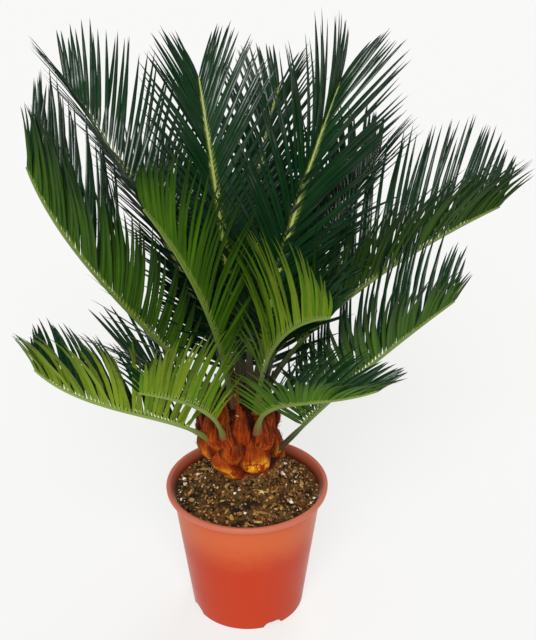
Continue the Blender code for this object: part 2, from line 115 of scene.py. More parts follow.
class Wiring:
    """Adds nodes to one tree and links them."""

    def __init__(self, tree: bpy.types.NodeTree) -> None:
        self.tree = tree

    def feed(self, socket: Socket, value: Feed) -> None:
        """Link a socket to the input, or set the input's own value."""
        if isinstance(value, bpy.types.NodeSocket):
            self.tree.links.new(value, socket)
        elif socket.type == "RGBA" and len(value) == 3:
            socket.default_value = (*value, 1.0)
        else:
            socket.default_value = value

    def add(self, kind: str, feeds: dict[str | int, Feed] | None = None,
            **settings: object) -> bpy.types.Node:
        """Add a node.

        Args:
            kind: The node's type name.
            feeds: What feeds each input, by the input's name or number.
            **settings: The node's own properties.

        Returns:
            The new node.
        """
        node = self.tree.nodes.new(kind)
        for name, value in settings.items():
            setattr(node, name, value)
        for key, value in (feeds or {}).items():
            self.feed(node.inputs[key], value)
        return node

    def math(self, operation: str, first: Feed, second: Feed = 0.0, clamp: bool = False) -> Socket:
        """The result of a Math node."""
        node = self.add("ShaderNodeMath", {0: first, 1: second}, operation=operation, use_clamp=clamp)
        return node.outputs[0]

    def times(self, first: Feed, second: Feed, clamp: bool = False) -> Socket:
        """The product of two values, held between 0 and 1 if `clamp` says so."""
        return self.math("MULTIPLY", first, second, clamp)

    def plus(self, first: Feed, second: Feed) -> Socket:
        """The sum of two values."""
        return self.math("ADD", first, second)

    def minus(self, first: Feed, second: Feed) -> Socket:
        """The first value less the second."""
        return self.math("SUBTRACT", first, second)

    def xyz(self, x: Feed, y: Feed, z: Feed) -> Socket:
        """A vector of three values."""
        return self.add("ShaderNodeCombineXYZ", {0: x, 1: y, 2: z}).outputs[0]

    def span(self, value: Feed, low: Feed, high: Feed, to_low: Feed = 0.0, to_high: Feed = 1.0) -> Socket:
        """The value smoothly mapped from one span to another, and held at its ends."""
        feeds = {0: value, 1: low, 2: high, 3: to_low, 4: to_high}
        return self.add("ShaderNodeMapRange", feeds, interpolation_type="SMOOTHSTEP").outputs[0]

    def ease(self, value: Feed, low: Feed, high: Feed) -> Socket:
        """A value from 0 to 1, smoothly mapped to one between `low` and `high`."""
        return self.span(value, 0.0, 1.0, low, high)

    def blend(self, factor: Feed, low: Feed, high: Feed) -> Socket:
        """Two colours mixed."""
        return self.add("ShaderNodeMix", {0: factor, 6: low, 7: high}, data_type="RGBA").outputs[2]

    def noise(self, vector: Feed, scale: Feed, detail: float, rough: float = 0.55) -> Socket:
        """A noise texture's value, from 0 to 1."""
        feeds = {"Vector": vector, "Scale": scale, "Detail": detail, "Roughness": rough}
        return self.add("ShaderNodeTexNoise", feeds).outputs[0]

    def attribute(self, name: str) -> Socket:
        """A number that the mesh holds."""
        return self.add("ShaderNodeAttribute", attribute_name=name).outputs["Fac"]

    def uv(self) -> tuple[Socket, Socket]:
        """The two parts of the piece's own UV map."""
        split = self.add("ShaderNodeSeparateXYZ", {0: self.add("ShaderNodeUVMap", uv_map="UVMap").outputs[0]})
        return split.outputs[0], split.outputs[1]

    def place(self) -> Socket:
        """The piece's Object coordinates."""
        return self.add("ShaderNodeTexCoord").outputs["Object"]


class ShaderGroup:
    """A shader node group that more than one finish uses: numbers in, and a mask out."""

    def __init__(self, name: str, **inputs: float) -> None:
        self.tree = bpy.data.node_groups.new(name, "ShaderNodeTree")
        for label, value in inputs.items():
            socket = self.tree.interface.new_socket(label, in_out="INPUT", socket_type="NodeSocketFloat")
            socket.default_value = value
        self.tree.interface.new_socket("Mask", in_out="OUTPUT", socket_type="NodeSocketFloat")
        self.wiring = Wiring(self.tree)
        self.inside = self.wiring.add("NodeGroupInput").outputs
        self.result = self.wiring.add("NodeGroupOutput").inputs["Mask"]

    def use(self, wiring: Wiring, **feeds: Feed) -> Socket:
        """The group's mask in a finish, from the finish's own values."""
        return wiring.add("ShaderNodeGroup", feeds, node_tree=self.tree).outputs["Mask"]


@cache
def mottle_group() -> ShaderGroup:
    """Soft patches in two sizes, for wear and uneven colour."""
    made = ShaderGroup("Mottle", Scale=40.0, Low=0.35, High=0.65)
    wiring, inside = made.wiring, made.inside
    place = wiring.place()
    broad = wiring.noise(place, inside["Scale"], 4.0)
    fine = wiring.noise(place, wiring.times(inside["Scale"], 5.3), 2.0)
    mixed = wiring.plus(wiring.times(broad, 0.7), wiring.times(fine, 0.3))
    wiring.feed(made.result, wiring.span(mixed, inside["Low"], inside["High"]))
    return made


@cache
def fibre_group() -> ShaderGroup:
    """Long thin streaks along a piece, from its UV map: many across and few along."""
    made = ShaderGroup("Fibres", Across=20.0, Along=2.0, Low=0.3, High=0.7, Shift=0.0)
    wiring, inside = made.wiring, made.inside
    across, along = wiring.uv()
    place = wiring.xyz(wiring.times(across, inside["Across"]), wiring.times(along, inside["Along"]),
                       inside["Shift"])
    streaks = wiring.noise(place, 1.0, 4.0, 0.6)
    wiring.feed(made.result, wiring.span(streaks, inside["Low"], inside["High"]))
    return made


class Finish:
    """A procedural material under construction."""

    def __init__(self, name: str) -> None:
        self.material = bpy.data.materials.new(name)
        self.material.use_nodes = True
        self.wiring = Wiring(self.material.node_tree)
        self.shader = self.material.node_tree.nodes["Principled BSDF"]

    def set(self, **feeds: Feed) -> None:
        """Feed the shader's inputs, which are named here with _ for a space."""
        for name, value in feeds.items():
            self.wiring.feed(self.shader.inputs[name.replace("_", " ")], value)

    def bump(self, height: Socket, strength: float, distance: float) -> None:
        """Roughen the surface by a height."""
        feeds = {"Height": height, "Strength": strength, "Distance": distance}
        self.set(Normal=self.wiring.add("ShaderNodeBump", feeds).outputs["Normal"])


@dataclass(frozen=True)
class PotPlastic:
    """Satin terracotta-orange plastic with faint smudges, lighter near the top and paler on the lip as
    painted light, and darker on the inner wall as painted shade.
    """

    low: Colour = (0.45, 0.032, 0.003)
    # painted light: the lighter colour of the wall near the top, where light falls on it
    high: Colour = (0.54, 0.100, 0.026)
    # painted reflection: the paler, pinker colour of the lip
    rim: Colour = (0.51, 0.132, 0.076)
    # painted shade: the darker colour of the inner wall
    inside: Colour = (0.105, 0.012, 0.006)
    smudge: Colour = (0.42, 0.045, 0.015)
    fade: tuple[float, float] = (0.078, 0.122)
    waver: float = 0.012
    rim_fade: tuple[float, float] = (0.1415, 0.1445)
    roughness: tuple[float, float] = (0.34, 0.46)

    def make(self) -> bpy.types.Material:
        """Build the material."""
        finish = Finish("pot_plastic")
        wiring = finish.wiring
        place = wiring.place()
        height = wiring.add("ShaderNodeSeparateXYZ", {0: place}).outputs[2]
        patches = mottle_group().use(wiring, Scale=22.0, Low=0.30, High=0.72)
        waver = wiring.times(wiring.minus(patches, 0.5), self.waver)
        # painted light: the fade makes the wall lighter towards the top
        fade = wiring.span(wiring.plus(height, waver), *self.fade)
        body = wiring.blend(fade, self.low, self.high)
        # painted reflection: the lip turns paler and pinker
        body = wiring.blend(wiring.span(height, *self.rim_fade), body, self.rim)
        # painted shade: the inner wall is darker
        body = wiring.blend(wiring.attribute("inside"), body, self.inside)
        smudges = mottle_group().use(wiring, Scale=55.0, Low=0.60, High=0.75)
        body = wiring.blend(wiring.times(smudges, 0.35), body, self.smudge)
        finish.set(Base_Color=body, Roughness=wiring.ease(patches, *self.roughness),
                   Specular_IOR_Level=0.20, Sheen_Weight=0.20, Sheen_Roughness=0.25,
                   Sheen_Tint=(1.0, 0.78, 0.66))
        finish.bump(wiring.noise(place, 1400.0, 2.0), 0.12, 0.0002)
        return finish.material


@dataclass(frozen=True)
class PottingMix:
    """Matt, dark, moist peat and bark."""

    dark: Colour = (0.010, 0.008, 0.005)
    brown: Colour = (0.160, 0.064, 0.014)
    olive: Colour = (0.085, 0.055, 0.016)

    def make(self) -> bpy.types.Material:
        """Build the material."""
        finish = Finish("potting_mix")
        wiring = finish.wiring
        patches = mottle_group().use(wiring, Scale=70.0, Low=0.36, High=0.62)
        moist = mottle_group().use(wiring, Scale=26.0, Low=0.42, High=0.60)
        earth = wiring.blend(moist, self.brown, self.olive)
        finish.set(Base_Color=wiring.blend(patches, self.dark, earth), Roughness=0.93,
                   Specular_IOR_Level=0.15)
        finish.bump(wiring.noise(wiring.place(), 900.0, 5.0, 0.7), 0.8, 0.0012)
        return finish.material


@dataclass(frozen=True)
class Grain:
    """Loose bits, each with its own place between two colours."""

    name: str
    low: Colour
    middle: Colour
    high: Colour
    roughness: float = 0.9
    grain: float = 1100.0
    depth: float = 0.0006

    def make(self) -> bpy.types.Material:
        """Build the material, which reads each bit's tone."""
        finish = Finish(self.name)
        wiring = finish.wiring
        tone = wiring.attribute("tone")
        place = wiring.place()
        speck = wiring.noise(place, self.grain, 4.0, 0.65)
        mixed = wiring.plus(tone, wiring.times(wiring.minus(speck, 0.5), 0.5))
        colour = wiring.blend(wiring.span(mixed, 0.10, 0.55), self.low, self.middle)
        colour = wiring.blend(wiring.span(mixed, 0.60, 0.95), colour, self.high)
        finish.set(Base_Color=colour, Roughness=self.roughness, Specular_IOR_Level=0.2)
        finish.bump(speck, 0.7, self.depth)
        return finish.material


@dataclass(frozen=True)
class LeafBaseFelt:
    """Felted orange-brown leaf bases, with flame-like streaks that run up each one, painted highlights on the
    crests of the lower knobs, and painted shade under, beside and between the bases.
    """

    # near black, for the painted shade under, beside and between the bases and in the gaps, and also for the
    # dark fibres; crimson is the painted shade at the knobs' edges
    shade: Colour = (0.028, 0.004, 0.001)
    crimson: Colour = (0.105, 0.006, 0.001)
    red: Colour = (0.21, 0.016, 0.002)
    orange: Colour = (0.49, 0.064, 0.002)
    # painted highlight: the bright yellow-orange on the knobs' crests
    glow: Colour = (1.0, 0.45, 0.022)
    straw: Colour = (0.34, 0.105, 0.018)
    bulb_dark: Colour = (0.034, 0.019, 0.008)
    bulb_pale: Colour = (0.200, 0.130, 0.045)

    def make(self) -> bpy.types.Material:
        """Build the material, which reads each leaf base's UV map, tone, polish and painted highlight,
        dryness, and painted shade in the gaps.
        """
        finish = Finish("leaf_base_felt")
        wiring = finish.wiring
        across, rise = wiring.uv()
        shift = wiring.times(wiring.attribute("tone"), 37.0)
        streaks = fibre_group().use(wiring, Across=8.0, Along=1.7, Low=0.38, High=0.62, Shift=shift)
        threads = fibre_group().use(wiring, Across=34.0, Along=2.6, Low=0.34, High=0.66, Shift=shift)
        patches = mottle_group().use(wiring, Scale=75.0, Low=0.38, High=0.62)
        glow = wiring.attribute("glow")
        calm = wiring.times(glow, 0.55)
        tint = wiring.blend(calm, streaks, wiring.ease(patches, 0.45, 1.0))
        felt = wiring.blend(tint, self.red, self.orange)
        # painted highlight: a bright band across the crest of each polished knob
        crest = wiring.minus(wiring.span(rise, 0.10, 0.25), wiring.span(rise, 0.34, 0.60))
        uneven = wiring.plus(wiring.times(threads, 0.30), wiring.times(patches, 0.85))
        bright = wiring.times(crest, wiring.span(uneven, 0.30, 0.85))
        felt = wiring.blend(wiring.times(bright, glow), felt, self.glow)
        above = wiring.times(wiring.span(rise, 0.40, 0.85), threads)
        plain = wiring.minus(1.0, calm)
        felt = wiring.blend(wiring.times(above, wiring.times(plain, 0.75)), felt, self.straw)
        blotch = wiring.minus(1.3, wiring.plus(threads, wiring.times(patches, 0.6)))
        dark = wiring.times(wiring.span(rise, 0.26, 0.62), blotch, clamp=True)
        felt = wiring.blend(wiring.times(dark, wiring.times(plain, 0.85)), felt, self.shade)
        # painted shade: dark at the foot and side edges of each leaf base, where it meets the next one,
        # crimson on the knobs
        under = wiring.minus(1.0, wiring.span(rise, 0.0, 0.12))
        edge = wiring.span(wiring.math("ABSOLUTE", wiring.minus(across, 0.5)), 0.28, 0.45)
        outline = wiring.times(wiring.math("MAXIMUM", under, edge), wiring.ease(patches, 0.75, 1.0))
        felt = wiring.blend(outline, felt, wiring.blend(glow, self.shade, self.crimson))
        # painted shade: the core, seen in the gaps between the leaf bases, is made near black
        felt = wiring.blend(wiring.attribute("gap"), felt, self.shade)
        earth = mottle_group().use(wiring, Scale=120.0, Low=0.36, High=0.60)
        bulb = wiring.blend(earth, self.bulb_dark, self.bulb_pale)
        felt = wiring.blend(wiring.attribute("dry"), felt, bulb)
        finish.set(Base_Color=felt, Roughness=wiring.ease(threads, 0.92, 0.60), Specular_IOR_Level=0.1)
        finish.bump(wiring.plus(threads, wiring.times(streaks, 1.5)), 0.8, 0.0010)
        return finish.material


@dataclass(frozen=True)
class BladeGreen:
    """Leathery leaflets: dark and glossy above, paler and matt below, yellower on younger fronds, brighter as
    painted light on fronds that face the light and darker as painted shade on hidden ones.
    """

    # painted light and shade: the brighter colours also stand for light on fronds that face it, the darker
    # ones for shade on hidden fronds
    top_old_shaded: Colour = (0.002, 0.016, 0.005)
    top_fresh: Colour = (0.008, 0.058, 0.014)
    under_old_shaded: Colour = (0.006, 0.024, 0.004)
    under_fresh: Colour = (0.072, 0.190, 0.002)
    # painted light: the brightest underside, on the fronds most in the light
    under_olive: Colour = (0.165, 0.240, 0.010)
    rib: Colour = (0.150, 0.230, 0.020)
    foot: Colour = (0.240, 0.320, 0.045)

    def make(self) -> bpy.types.Material:
        """Build the material. The UV map holds the upper side left of 0.5 and the lower side right of it."""
        finish = Finish("frond_blade")
        wiring = finish.wiring
        across, along = wiring.uv()
        tone = wiring.attribute("tone")
        # how new and how lit the frond is: painted light on fronds that face the light, painted shade on
        # hidden ones
        fresh = wiring.attribute("fresh")
        lower = wiring.math("GREATER_THAN", across, 0.5)
        patches = mottle_group().use(wiring, Scale=30.0, Low=0.30, High=0.70)
        shade = wiring.plus(wiring.times(tone, 0.65), wiring.times(patches, 0.35))
        lit_freshness = wiring.plus(wiring.times(fresh, 0.25), wiring.times(shade, 0.6))
        top = wiring.blend(lit_freshness, self.top_old_shaded, self.top_fresh)
        young_lit = wiring.blend(wiring.span(fresh, 0.80, 1.0), self.under_fresh, self.under_olive)
        share = wiring.times(fresh, wiring.plus(0.45, shade), clamp=True)
        under = wiring.blend(share, self.under_old_shaded, young_lit)
        half = wiring.math("FRACT", wiring.times(across, 2.0))
        middle = wiring.math("ABSOLUTE", wiring.minus(half, 0.5))
        rib = wiring.minus(1.0, wiring.span(middle, 0.03, 0.10))
        colour = wiring.blend(lower, top, under)
        rib_share = wiring.times(rib, wiring.ease(lower, 0.06, 0.30))
        colour = wiring.blend(rib_share, colour, self.rib)
        # darker towards the leaflets' tips, less so on brighter fronds
        tip_darkening = wiring.span(fresh, 0.3, 0.9, 0.80, 0.35)
        colour = wiring.blend(wiring.span(along, 0.30, 1.0, 0.0, tip_darkening), colour, self.top_old_shaded)
        foot = wiring.minus(1.0, wiring.span(along, 0.01, 0.075))
        colour = wiring.blend(wiring.times(foot, 0.80), colour, self.foot)
        shift = wiring.times(tone, 53.0)
        streaks = fibre_group().use(wiring, Across=18.0, Along=3.2, Low=0.40, High=0.56, Shift=shift)
        lit = mottle_group().use(wiring, Scale=13.0, Low=0.40, High=0.54)
        sheen = wiring.times(streaks, lit)
        gloss = wiring.times(sheen, wiring.ease(lower, 1.0, 0.0))
        finish.set(Base_Color=colour, Roughness=wiring.ease(lower, 0.46, 0.60), Specular_IOR_Level=0.11,
                   Coat_Weight=gloss, Coat_Roughness=0.20, Coat_IOR=1.65)
        veins = wiring.math("SINE", wiring.times(across, 150.0))
        finish.bump(wiring.plus(veins, wiring.times(rib, 3.0)), 0.25, 0.0002)
        return finish.material


@dataclass(frozen=True)
class StalkGreen:
    """The petiole and rachis: brown felt at the foot, then olive, then yellow-green; on hidden fronds the
    foot is near black and the green darker, as painted shade.
    """

    felt: Colour = (0.20, 0.052, 0.008)
    # painted shade: the foot of the stalks of hidden fronds
    shaded_felt: Colour = (0.034, 0.012, 0.004)
    crown: Colour = (0.022, 0.030, 0.007)
    olive: Colour = (0.150, 0.150, 0.022)
    green: Colour = (0.200, 0.290, 0.040)
    pale: Colour = (0.430, 0.470, 0.110)
    dark: Colour = (0.040, 0.090, 0.012)

    def make(self) -> bpy.types.Material:
        """Build the material, which reads how far along the stalk a point is."""
        finish = Finish("frond_stalk")
        wiring = finish.wiring
        across, along = wiring.uv()
        fresh = wiring.attribute("fresh")
        streaks = fibre_group().use(wiring, Across=9.0, Along=4.0, Low=0.30, High=0.70)
        # painted shade: darker green on less lit fronds
        green = wiring.blend(wiring.plus(wiring.times(fresh, 0.6), 0.35), self.dark, self.green)
        upper = wiring.minus(1.0, wiring.span(across, 0.20, 0.27))
        green = wiring.blend(wiring.times(upper, 0.8), green, self.pale)
        # painted shade: near-black foot on hidden fronds
        foot = wiring.blend(wiring.span(fresh, 0.35, 0.75), self.crown, self.olive)
        colour = wiring.blend(wiring.span(along, 0.05, 0.30), foot, green)
        felt = wiring.blend(wiring.span(fresh, 0.35, 0.75), self.shaded_felt, self.felt)
        colour = wiring.blend(wiring.span(along, 0.01, 0.13), felt, colour)
        colour = wiring.blend(wiring.times(streaks, 0.28), colour, self.dark)
        finish.set(Base_Color=colour, Roughness=wiring.span(along, 0.0, 0.2, 0.75, 0.42))
        finish.bump(streaks, 0.3, 0.0003)
        return finish.material


def link(name: str, mesh: bpy.types.Mesh, *finishes: bpy.types.Material) -> bpy.types.Object:
    """Make an object of this mesh in the scene.

    Args:
        name: The object's name.
        mesh: Its mesh.
        *finishes: Its materials.

    Returns:
        The object.
    """
    obj = bpy.data.objects.new(name, mesh)
    bpy.context.scene.collection.objects.link(obj)
    for finish in finishes:
        mesh.materials.append(finish)
    return obj


def bake(obj: bpy.types.Object) -> None:
    """Give the object a plain mesh of what its modifiers make, without the modifiers."""
    bpy.context.view_layer.update()
    graph = bpy.context.evaluated_depsgraph_get()
    made = bpy.data.meshes.new_from_object(obj.evaluated_get(graph))
    before = obj.data
    obj.modifiers.clear()
    obj.data = made
    made.name = obj.name
    bpy.data.meshes.remove(before)


def discard(*objects: bpy.types.Object) -> None:
    """Remove helpers that have done their work."""
    for obj in objects:
        bpy.data.objects.remove(obj, do_unlink=True)


def soften(mesh: bpy.types.Mesh, angle: float) -> None:
    """Shade the mesh smooth, but keep edges sharper than this angle in degrees."""
    mesh.shade_smooth()
    mesh.set_sharp_from_angle(angle=math.radians(angle))


def from_bmesh(name: str, bm: bmesh.types.BMesh, *finishes: bpy.types.Material,
               smooth: bool = False) -> bpy.types.Object:
    """Make an object of what a bmesh holds, and free the bmesh.

    Args:
        name: The object's name.
        bm: The bmesh, which is used up.
        *finishes: The object's materials.
        smooth: Whether to turn its faces outward and shade them smooth.

    Returns:
        The object.
    """
    mesh = bpy.data.meshes.new(name)
    if smooth:
        bm.normal_update()
        bmesh.ops.recalc_face_normals(bm, faces=bm.faces)
    bm.to_mesh(mesh)
    bm.free()
    if smooth:
        mesh.shade_smooth()
    return link(name, mesh, *finishes)


def add_ball(bm: bmesh.types.BMesh, faces: tuple[int, int]) -> list[bmesh.types.BMVert]:
    """Add a ball of radius 1, with so many faces around and upward, and give its vertices."""
    return bmesh.ops.create_uvsphere(bm, u_segments=faces[0], v_segments=faces[1], radius=1.0)["verts"]


def sort_faces(bm: bmesh.types.BMesh) -> None:
    """Put the faces in the order of their vertices.

    A ball's faces come in another order each time the script runs, and what is strewn over them
    would lie elsewhere each time.
    """
    bm.verts.index_update()
    count = len(bm.verts)

    def place(face: bmesh.types.BMFace) -> int:
        first, second, third, *_ = sorted(vertex.index for vertex in face.verts)
        return (first * count + second) * count + third

    bm.faces.sort(key=place)


def write_uv(bm: bmesh.types.BMesh, places: dict[bmesh.types.BMVert, tuple[float, float]]) -> None:
    """Write each vertex's place into the UV map."""
    uv = bm.loops.layers.uv.verify()
    for vertex, place in places.items():
        for loop in vertex.link_loops:
            loop[uv].uv = place


def hold(mesh: bpy.types.Mesh, name: str, values: list[float] | np.ndarray) -> None:
    """Store a number for each of the mesh's points."""
    attribute = mesh.attributes.new(name, "FLOAT", "POINT")
    attribute.data.foreach_set("value", np.array(values, dtype=np.float32))


def mesh_tree(mesh: bpy.types.Mesh) -> BVHTree:
    """The mesh as a tree that tells what meets it."""
    points = [vertex.co.copy() for vertex in mesh.vertices]
    return BVHTree.FromPolygons(points, [tuple(face.vertices) for face in mesh.polygons])


def dress(obj: bpy.types.Object, finish: bpy.types.Material) -> None:
    """Give the object this material alone."""
    obj.data.materials.clear()
    obj.data.materials.append(finish)


def hand_over(piece: bpy.types.Object, slot: Slot, *nodes: str) -> None:
    """Tell the frame what a finished piece is.

    Args:
        piece: The piece.
        slot: The record's slot that it takes its finish from. Not used.
        *nodes: The CAD nodes that it stands for.
    """
    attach(piece, BODY)
    if nodes:
        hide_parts(*nodes)
    triangles = sum(len(face.vertices) - 2 for face in piece.data.polygons)
    LOG.info("%s: %d triangles", piece.name, triangles)


def turned(name: str, profile: list[tuple[float, float]], sides: int) -> bpy.types.Object:
    """A turned solid.

    Args:
        name: The object's name.
        profile: Points of (radius, height) that run down its outer side.
        sides: How many steps it has round its axis.

    Returns:
        The object, with a plain closed mesh.
    """
    mesh = bpy.data.meshes.new(name)
    points = [(radius, 0.0, height) for radius, height in profile]
    mesh.from_pydata(points, [(i, i + 1) for i in range(len(points) - 1)], [])
    obj = link(name, mesh)
    screw = obj.modifiers.new("Turn", "SCREW")
    screw.steps = sides
    screw.render_steps = sides
    screw.use_merge_vertices = True
    screw.merge_threshold = 0.00001
    bake(obj)
    return obj


class NodesTree:
    """A Geometry Nodes tree with named inputs."""

    def __init__(self, name: str, **inputs: str) -> None:
        self.tree = bpy.data.node_groups.new(name, "GeometryNodeTree")
        face = self.tree.interface
        face.new_socket("Geometry", in_out="INPUT", socket_type="NodeSocketGeometry")
        for label, kind in inputs.items():
            face.new_socket(label.replace("_", " "), in_out="INPUT", socket_type=f"NodeSocket{kind}")
        face.new_socket("Geometry", in_out="OUTPUT", socket_type="NodeSocketGeometry")
        self.wiring = Wiring(self.tree)
        self.inside = self.wiring.add("NodeGroupInput").outputs
        self.result = self.wiring.add("NodeGroupOutput").inputs[0]

    def attribute(self, name: str, kind: str = "FLOAT") -> Socket:
        """A value that the geometry holds."""
        return self.wiring.add("GeometryNodeInputNamedAttribute", {"Name": name}, data_type=kind).outputs[0]

    def random(self, seed: Feed) -> Socket:
        """A random number from 0 to 1 for each point."""
        return self.wiring.add("FunctionNodeRandomValue", {"Seed": seed}, data_type="FLOAT").outputs[1]

    def scaled(self, vector: Feed, scale: Feed) -> Socket:
        """A vector times a number."""
        feeds = {0: vector, "Scale": scale}
        return self.wiring.add("ShaderNodeVectorMath", feeds, operation="SCALE").outputs[0]

    def summed(self, first: Feed, second: Feed) -> Socket:
        """The sum of two vectors."""
        return self.wiring.add("ShaderNodeVectorMath", {0: first, 1: second}, operation="ADD").outputs[0]

    def copies(self, points: Socket, shape: Socket, turn: Socket, scale: Socket) -> Socket:
        """Real copies of an object's mesh on points."""
        unit = self.wiring.add("GeometryNodeObjectInfo", {0: shape})
        placed = self.wiring.add("GeometryNodeInstanceOnPoints", {
            "Points": points, "Instance": unit.outputs["Geometry"], "Rotation": turn, "Scale": scale})
        return self.wiring.add("GeometryNodeRealizeInstances", {0: placed.outputs[0]}).outputs[0]

    def moved(self, geometry: Socket, offset: Socket) -> Socket:
        """The geometry with its points moved."""
        return self.wiring.add("GeometryNodeSetPosition", {0: geometry, "Offset": offset}).outputs[0]

    def dressed(self, geometry: Socket, finish: Socket, chosen: Feed = True) -> Socket:
        """The geometry with a material on its chosen faces."""
        feeds = {"Geometry": geometry, "Selection": chosen, "Material": finish}
        return self.wiring.add("GeometryNodeSetMaterial", feeds).outputs[0]

    def apply(self, obj: bpy.types.Object, **values: object) -> None:
        """Run the tree on the object and keep the result as its plain mesh.

        Args:
            obj: The object.
            **values: The tree's inputs, named here with _ for a space.
        """
        modifier = obj.modifiers.new(self.tree.name, "NODES")
        modifier.node_group = self.tree
        for item in self.tree.interface.items_tree:
            key = item.name.replace(" ", "_")
            if item.item_type == "SOCKET" and item.in_out == "INPUT" and key in values:
                modifier[item.identifier] = values[key]
        obj.update_tag()
        bake(obj)


@cache
def scatter_tree() -> NodesTree:
    """Bits that lie on a surface: one of a shape at each random point, turned and sized at random."""
    made = NodesTree("Scatter", Bit="Object", Count_Density="Float", Smallest="Float", Largest="Float",
                     Tilt="Float", Sink="Float", Seed="Int", Finish="Material")
    wiring, inside = made.wiring, made.inside
    spots = wiring.add("GeometryNodeDistributePointsOnFaces", {
        "Mesh": inside["Geometry"],
        "Density": wiring.times(inside["Count Density"], made.attribute("open")),
        "Seed": inside["Seed"],
    })
    tilt = inside["Tilt"]
    back = wiring.times(tilt, -1.0)
    turn = wiring.add("FunctionNodeRandomValue", {
        "Min": wiring.xyz(back, back, -math.pi), "Max": wiring.xyz(tilt, tilt, math.pi),
        "Seed": inside["Seed"]}, data_type="FLOAT_VECTOR")
    spin = wiring.add("FunctionNodeEulerToRotation", {0: turn.outputs["Value"]})
    stand = wiring.add("FunctionNodeRotateRotation", {
        "Rotation": spots.outputs["Rotation"], "Rotate By": spin.outputs[0]}, rotation_space="LOCAL")
    size = made.random(wiring.plus(inside["Seed"], 7.0))
    reach = wiring.add("ShaderNodeMapRange", {
        0: wiring.times(size, size), 3: inside["Smallest"], 4: inside["Largest"]}).outputs[0]
    held = wiring.add("GeometryNodeStoreNamedAttribute", {
        "Geometry": spots.outputs["Points"], "Name": "tone",
        "Value": made.random(wiring.plus(inside["Seed"], 13.0))}, data_type="FLOAT", domain="POINT")
    lift = wiring.times(reach, inside["Sink"])
    sunk = made.moved(held.outputs[0], made.scaled(spots.outputs["Normal"], lift))
    real = made.copies(sunk, inside["Bit"], stand.outputs[0], reach)
    wiring.feed(made.result, made.dressed(real, inside["Finish"]))
    return made


def strew(mesh: bpy.types.Mesh, name: str, bit: bpy.types.Object, finish: bpy.types.Material, slot: Slot,
          **values: float) -> None:
    """Strew copies of a bit over the open part of a mesh, as one piece.

    Args:
        mesh: The mesh, which is used up.
        name: The piece's name.
        bit: The shape of one bit, which is used up.
        finish: Its material.
        slot: The record's slot of the piece.
        **values: The scatter tree's numbers.
    """
    piece = link(name, mesh)
    scatter_tree().apply(piece, Bit=bit, Finish=finish, **values)
    discard(bit)
    hand_over(piece, slot)


def lump(name: str, seed: float, fineness: int = 1, rough: float = 0.35,
         stretch: tuple[float, float, float] = (1.0, 1.0, 1.0)) -> bpy.types.Object:
    """A rounded irregular bit, about 2 across.

    Args:
        name: The object's name.
        seed: Which irregular shape it takes.
        fineness: How many times the ball's faces are split.
        rough: How far its surface departs from the ball's.
        stretch: Its size along each axis, against the ball's.

    Returns:
        The object.
    """
    bm = bmesh.new()
    bmesh.ops.create_icosphere(bm, subdivisions=fineness, radius=1.0)
    for vertex in bm.verts:
        out = 1.0 + rough * noise.noise(vertex.co * 1.3 + Vector((seed, 0.0, 0.0))) * 2
        vertex.co = Vector(a * b for a, b in zip(vertex.co * out, stretch))
    bm.normal_update()
    made = from_bmesh(name, bm)
    soften(made.data, 55.0)
    return made


def star(name: str, points: int, inner: float, thick: float) -> bpy.types.Object:
    """A small dried star, about 2 across.

    Args:
        name: The object's name.
        points: How many points it has.
        inner: How far in its notches reach, against its points.
        thick: Half its thickness in the middle.

    Returns:
        The object.
    """
    bm = bmesh.new()
    top = bm.verts.new((0.0, 0.0, thick))
    bottom = bm.verts.new((0.0, 0.0, -thick))
    corners = []
    for step in range(points * 2):
        reach = 1.0 if step % 2 == 0 else inner
        corners.append(bm.verts.new(outward(180.0 * step / points) * reach))
    for near, far in zip(corners, corners[1:] + corners[:1]):
        bm.faces.new((top, near, far))
        bm.faces.new((bottom, far, near))
    return from_bmesh(name, bm)


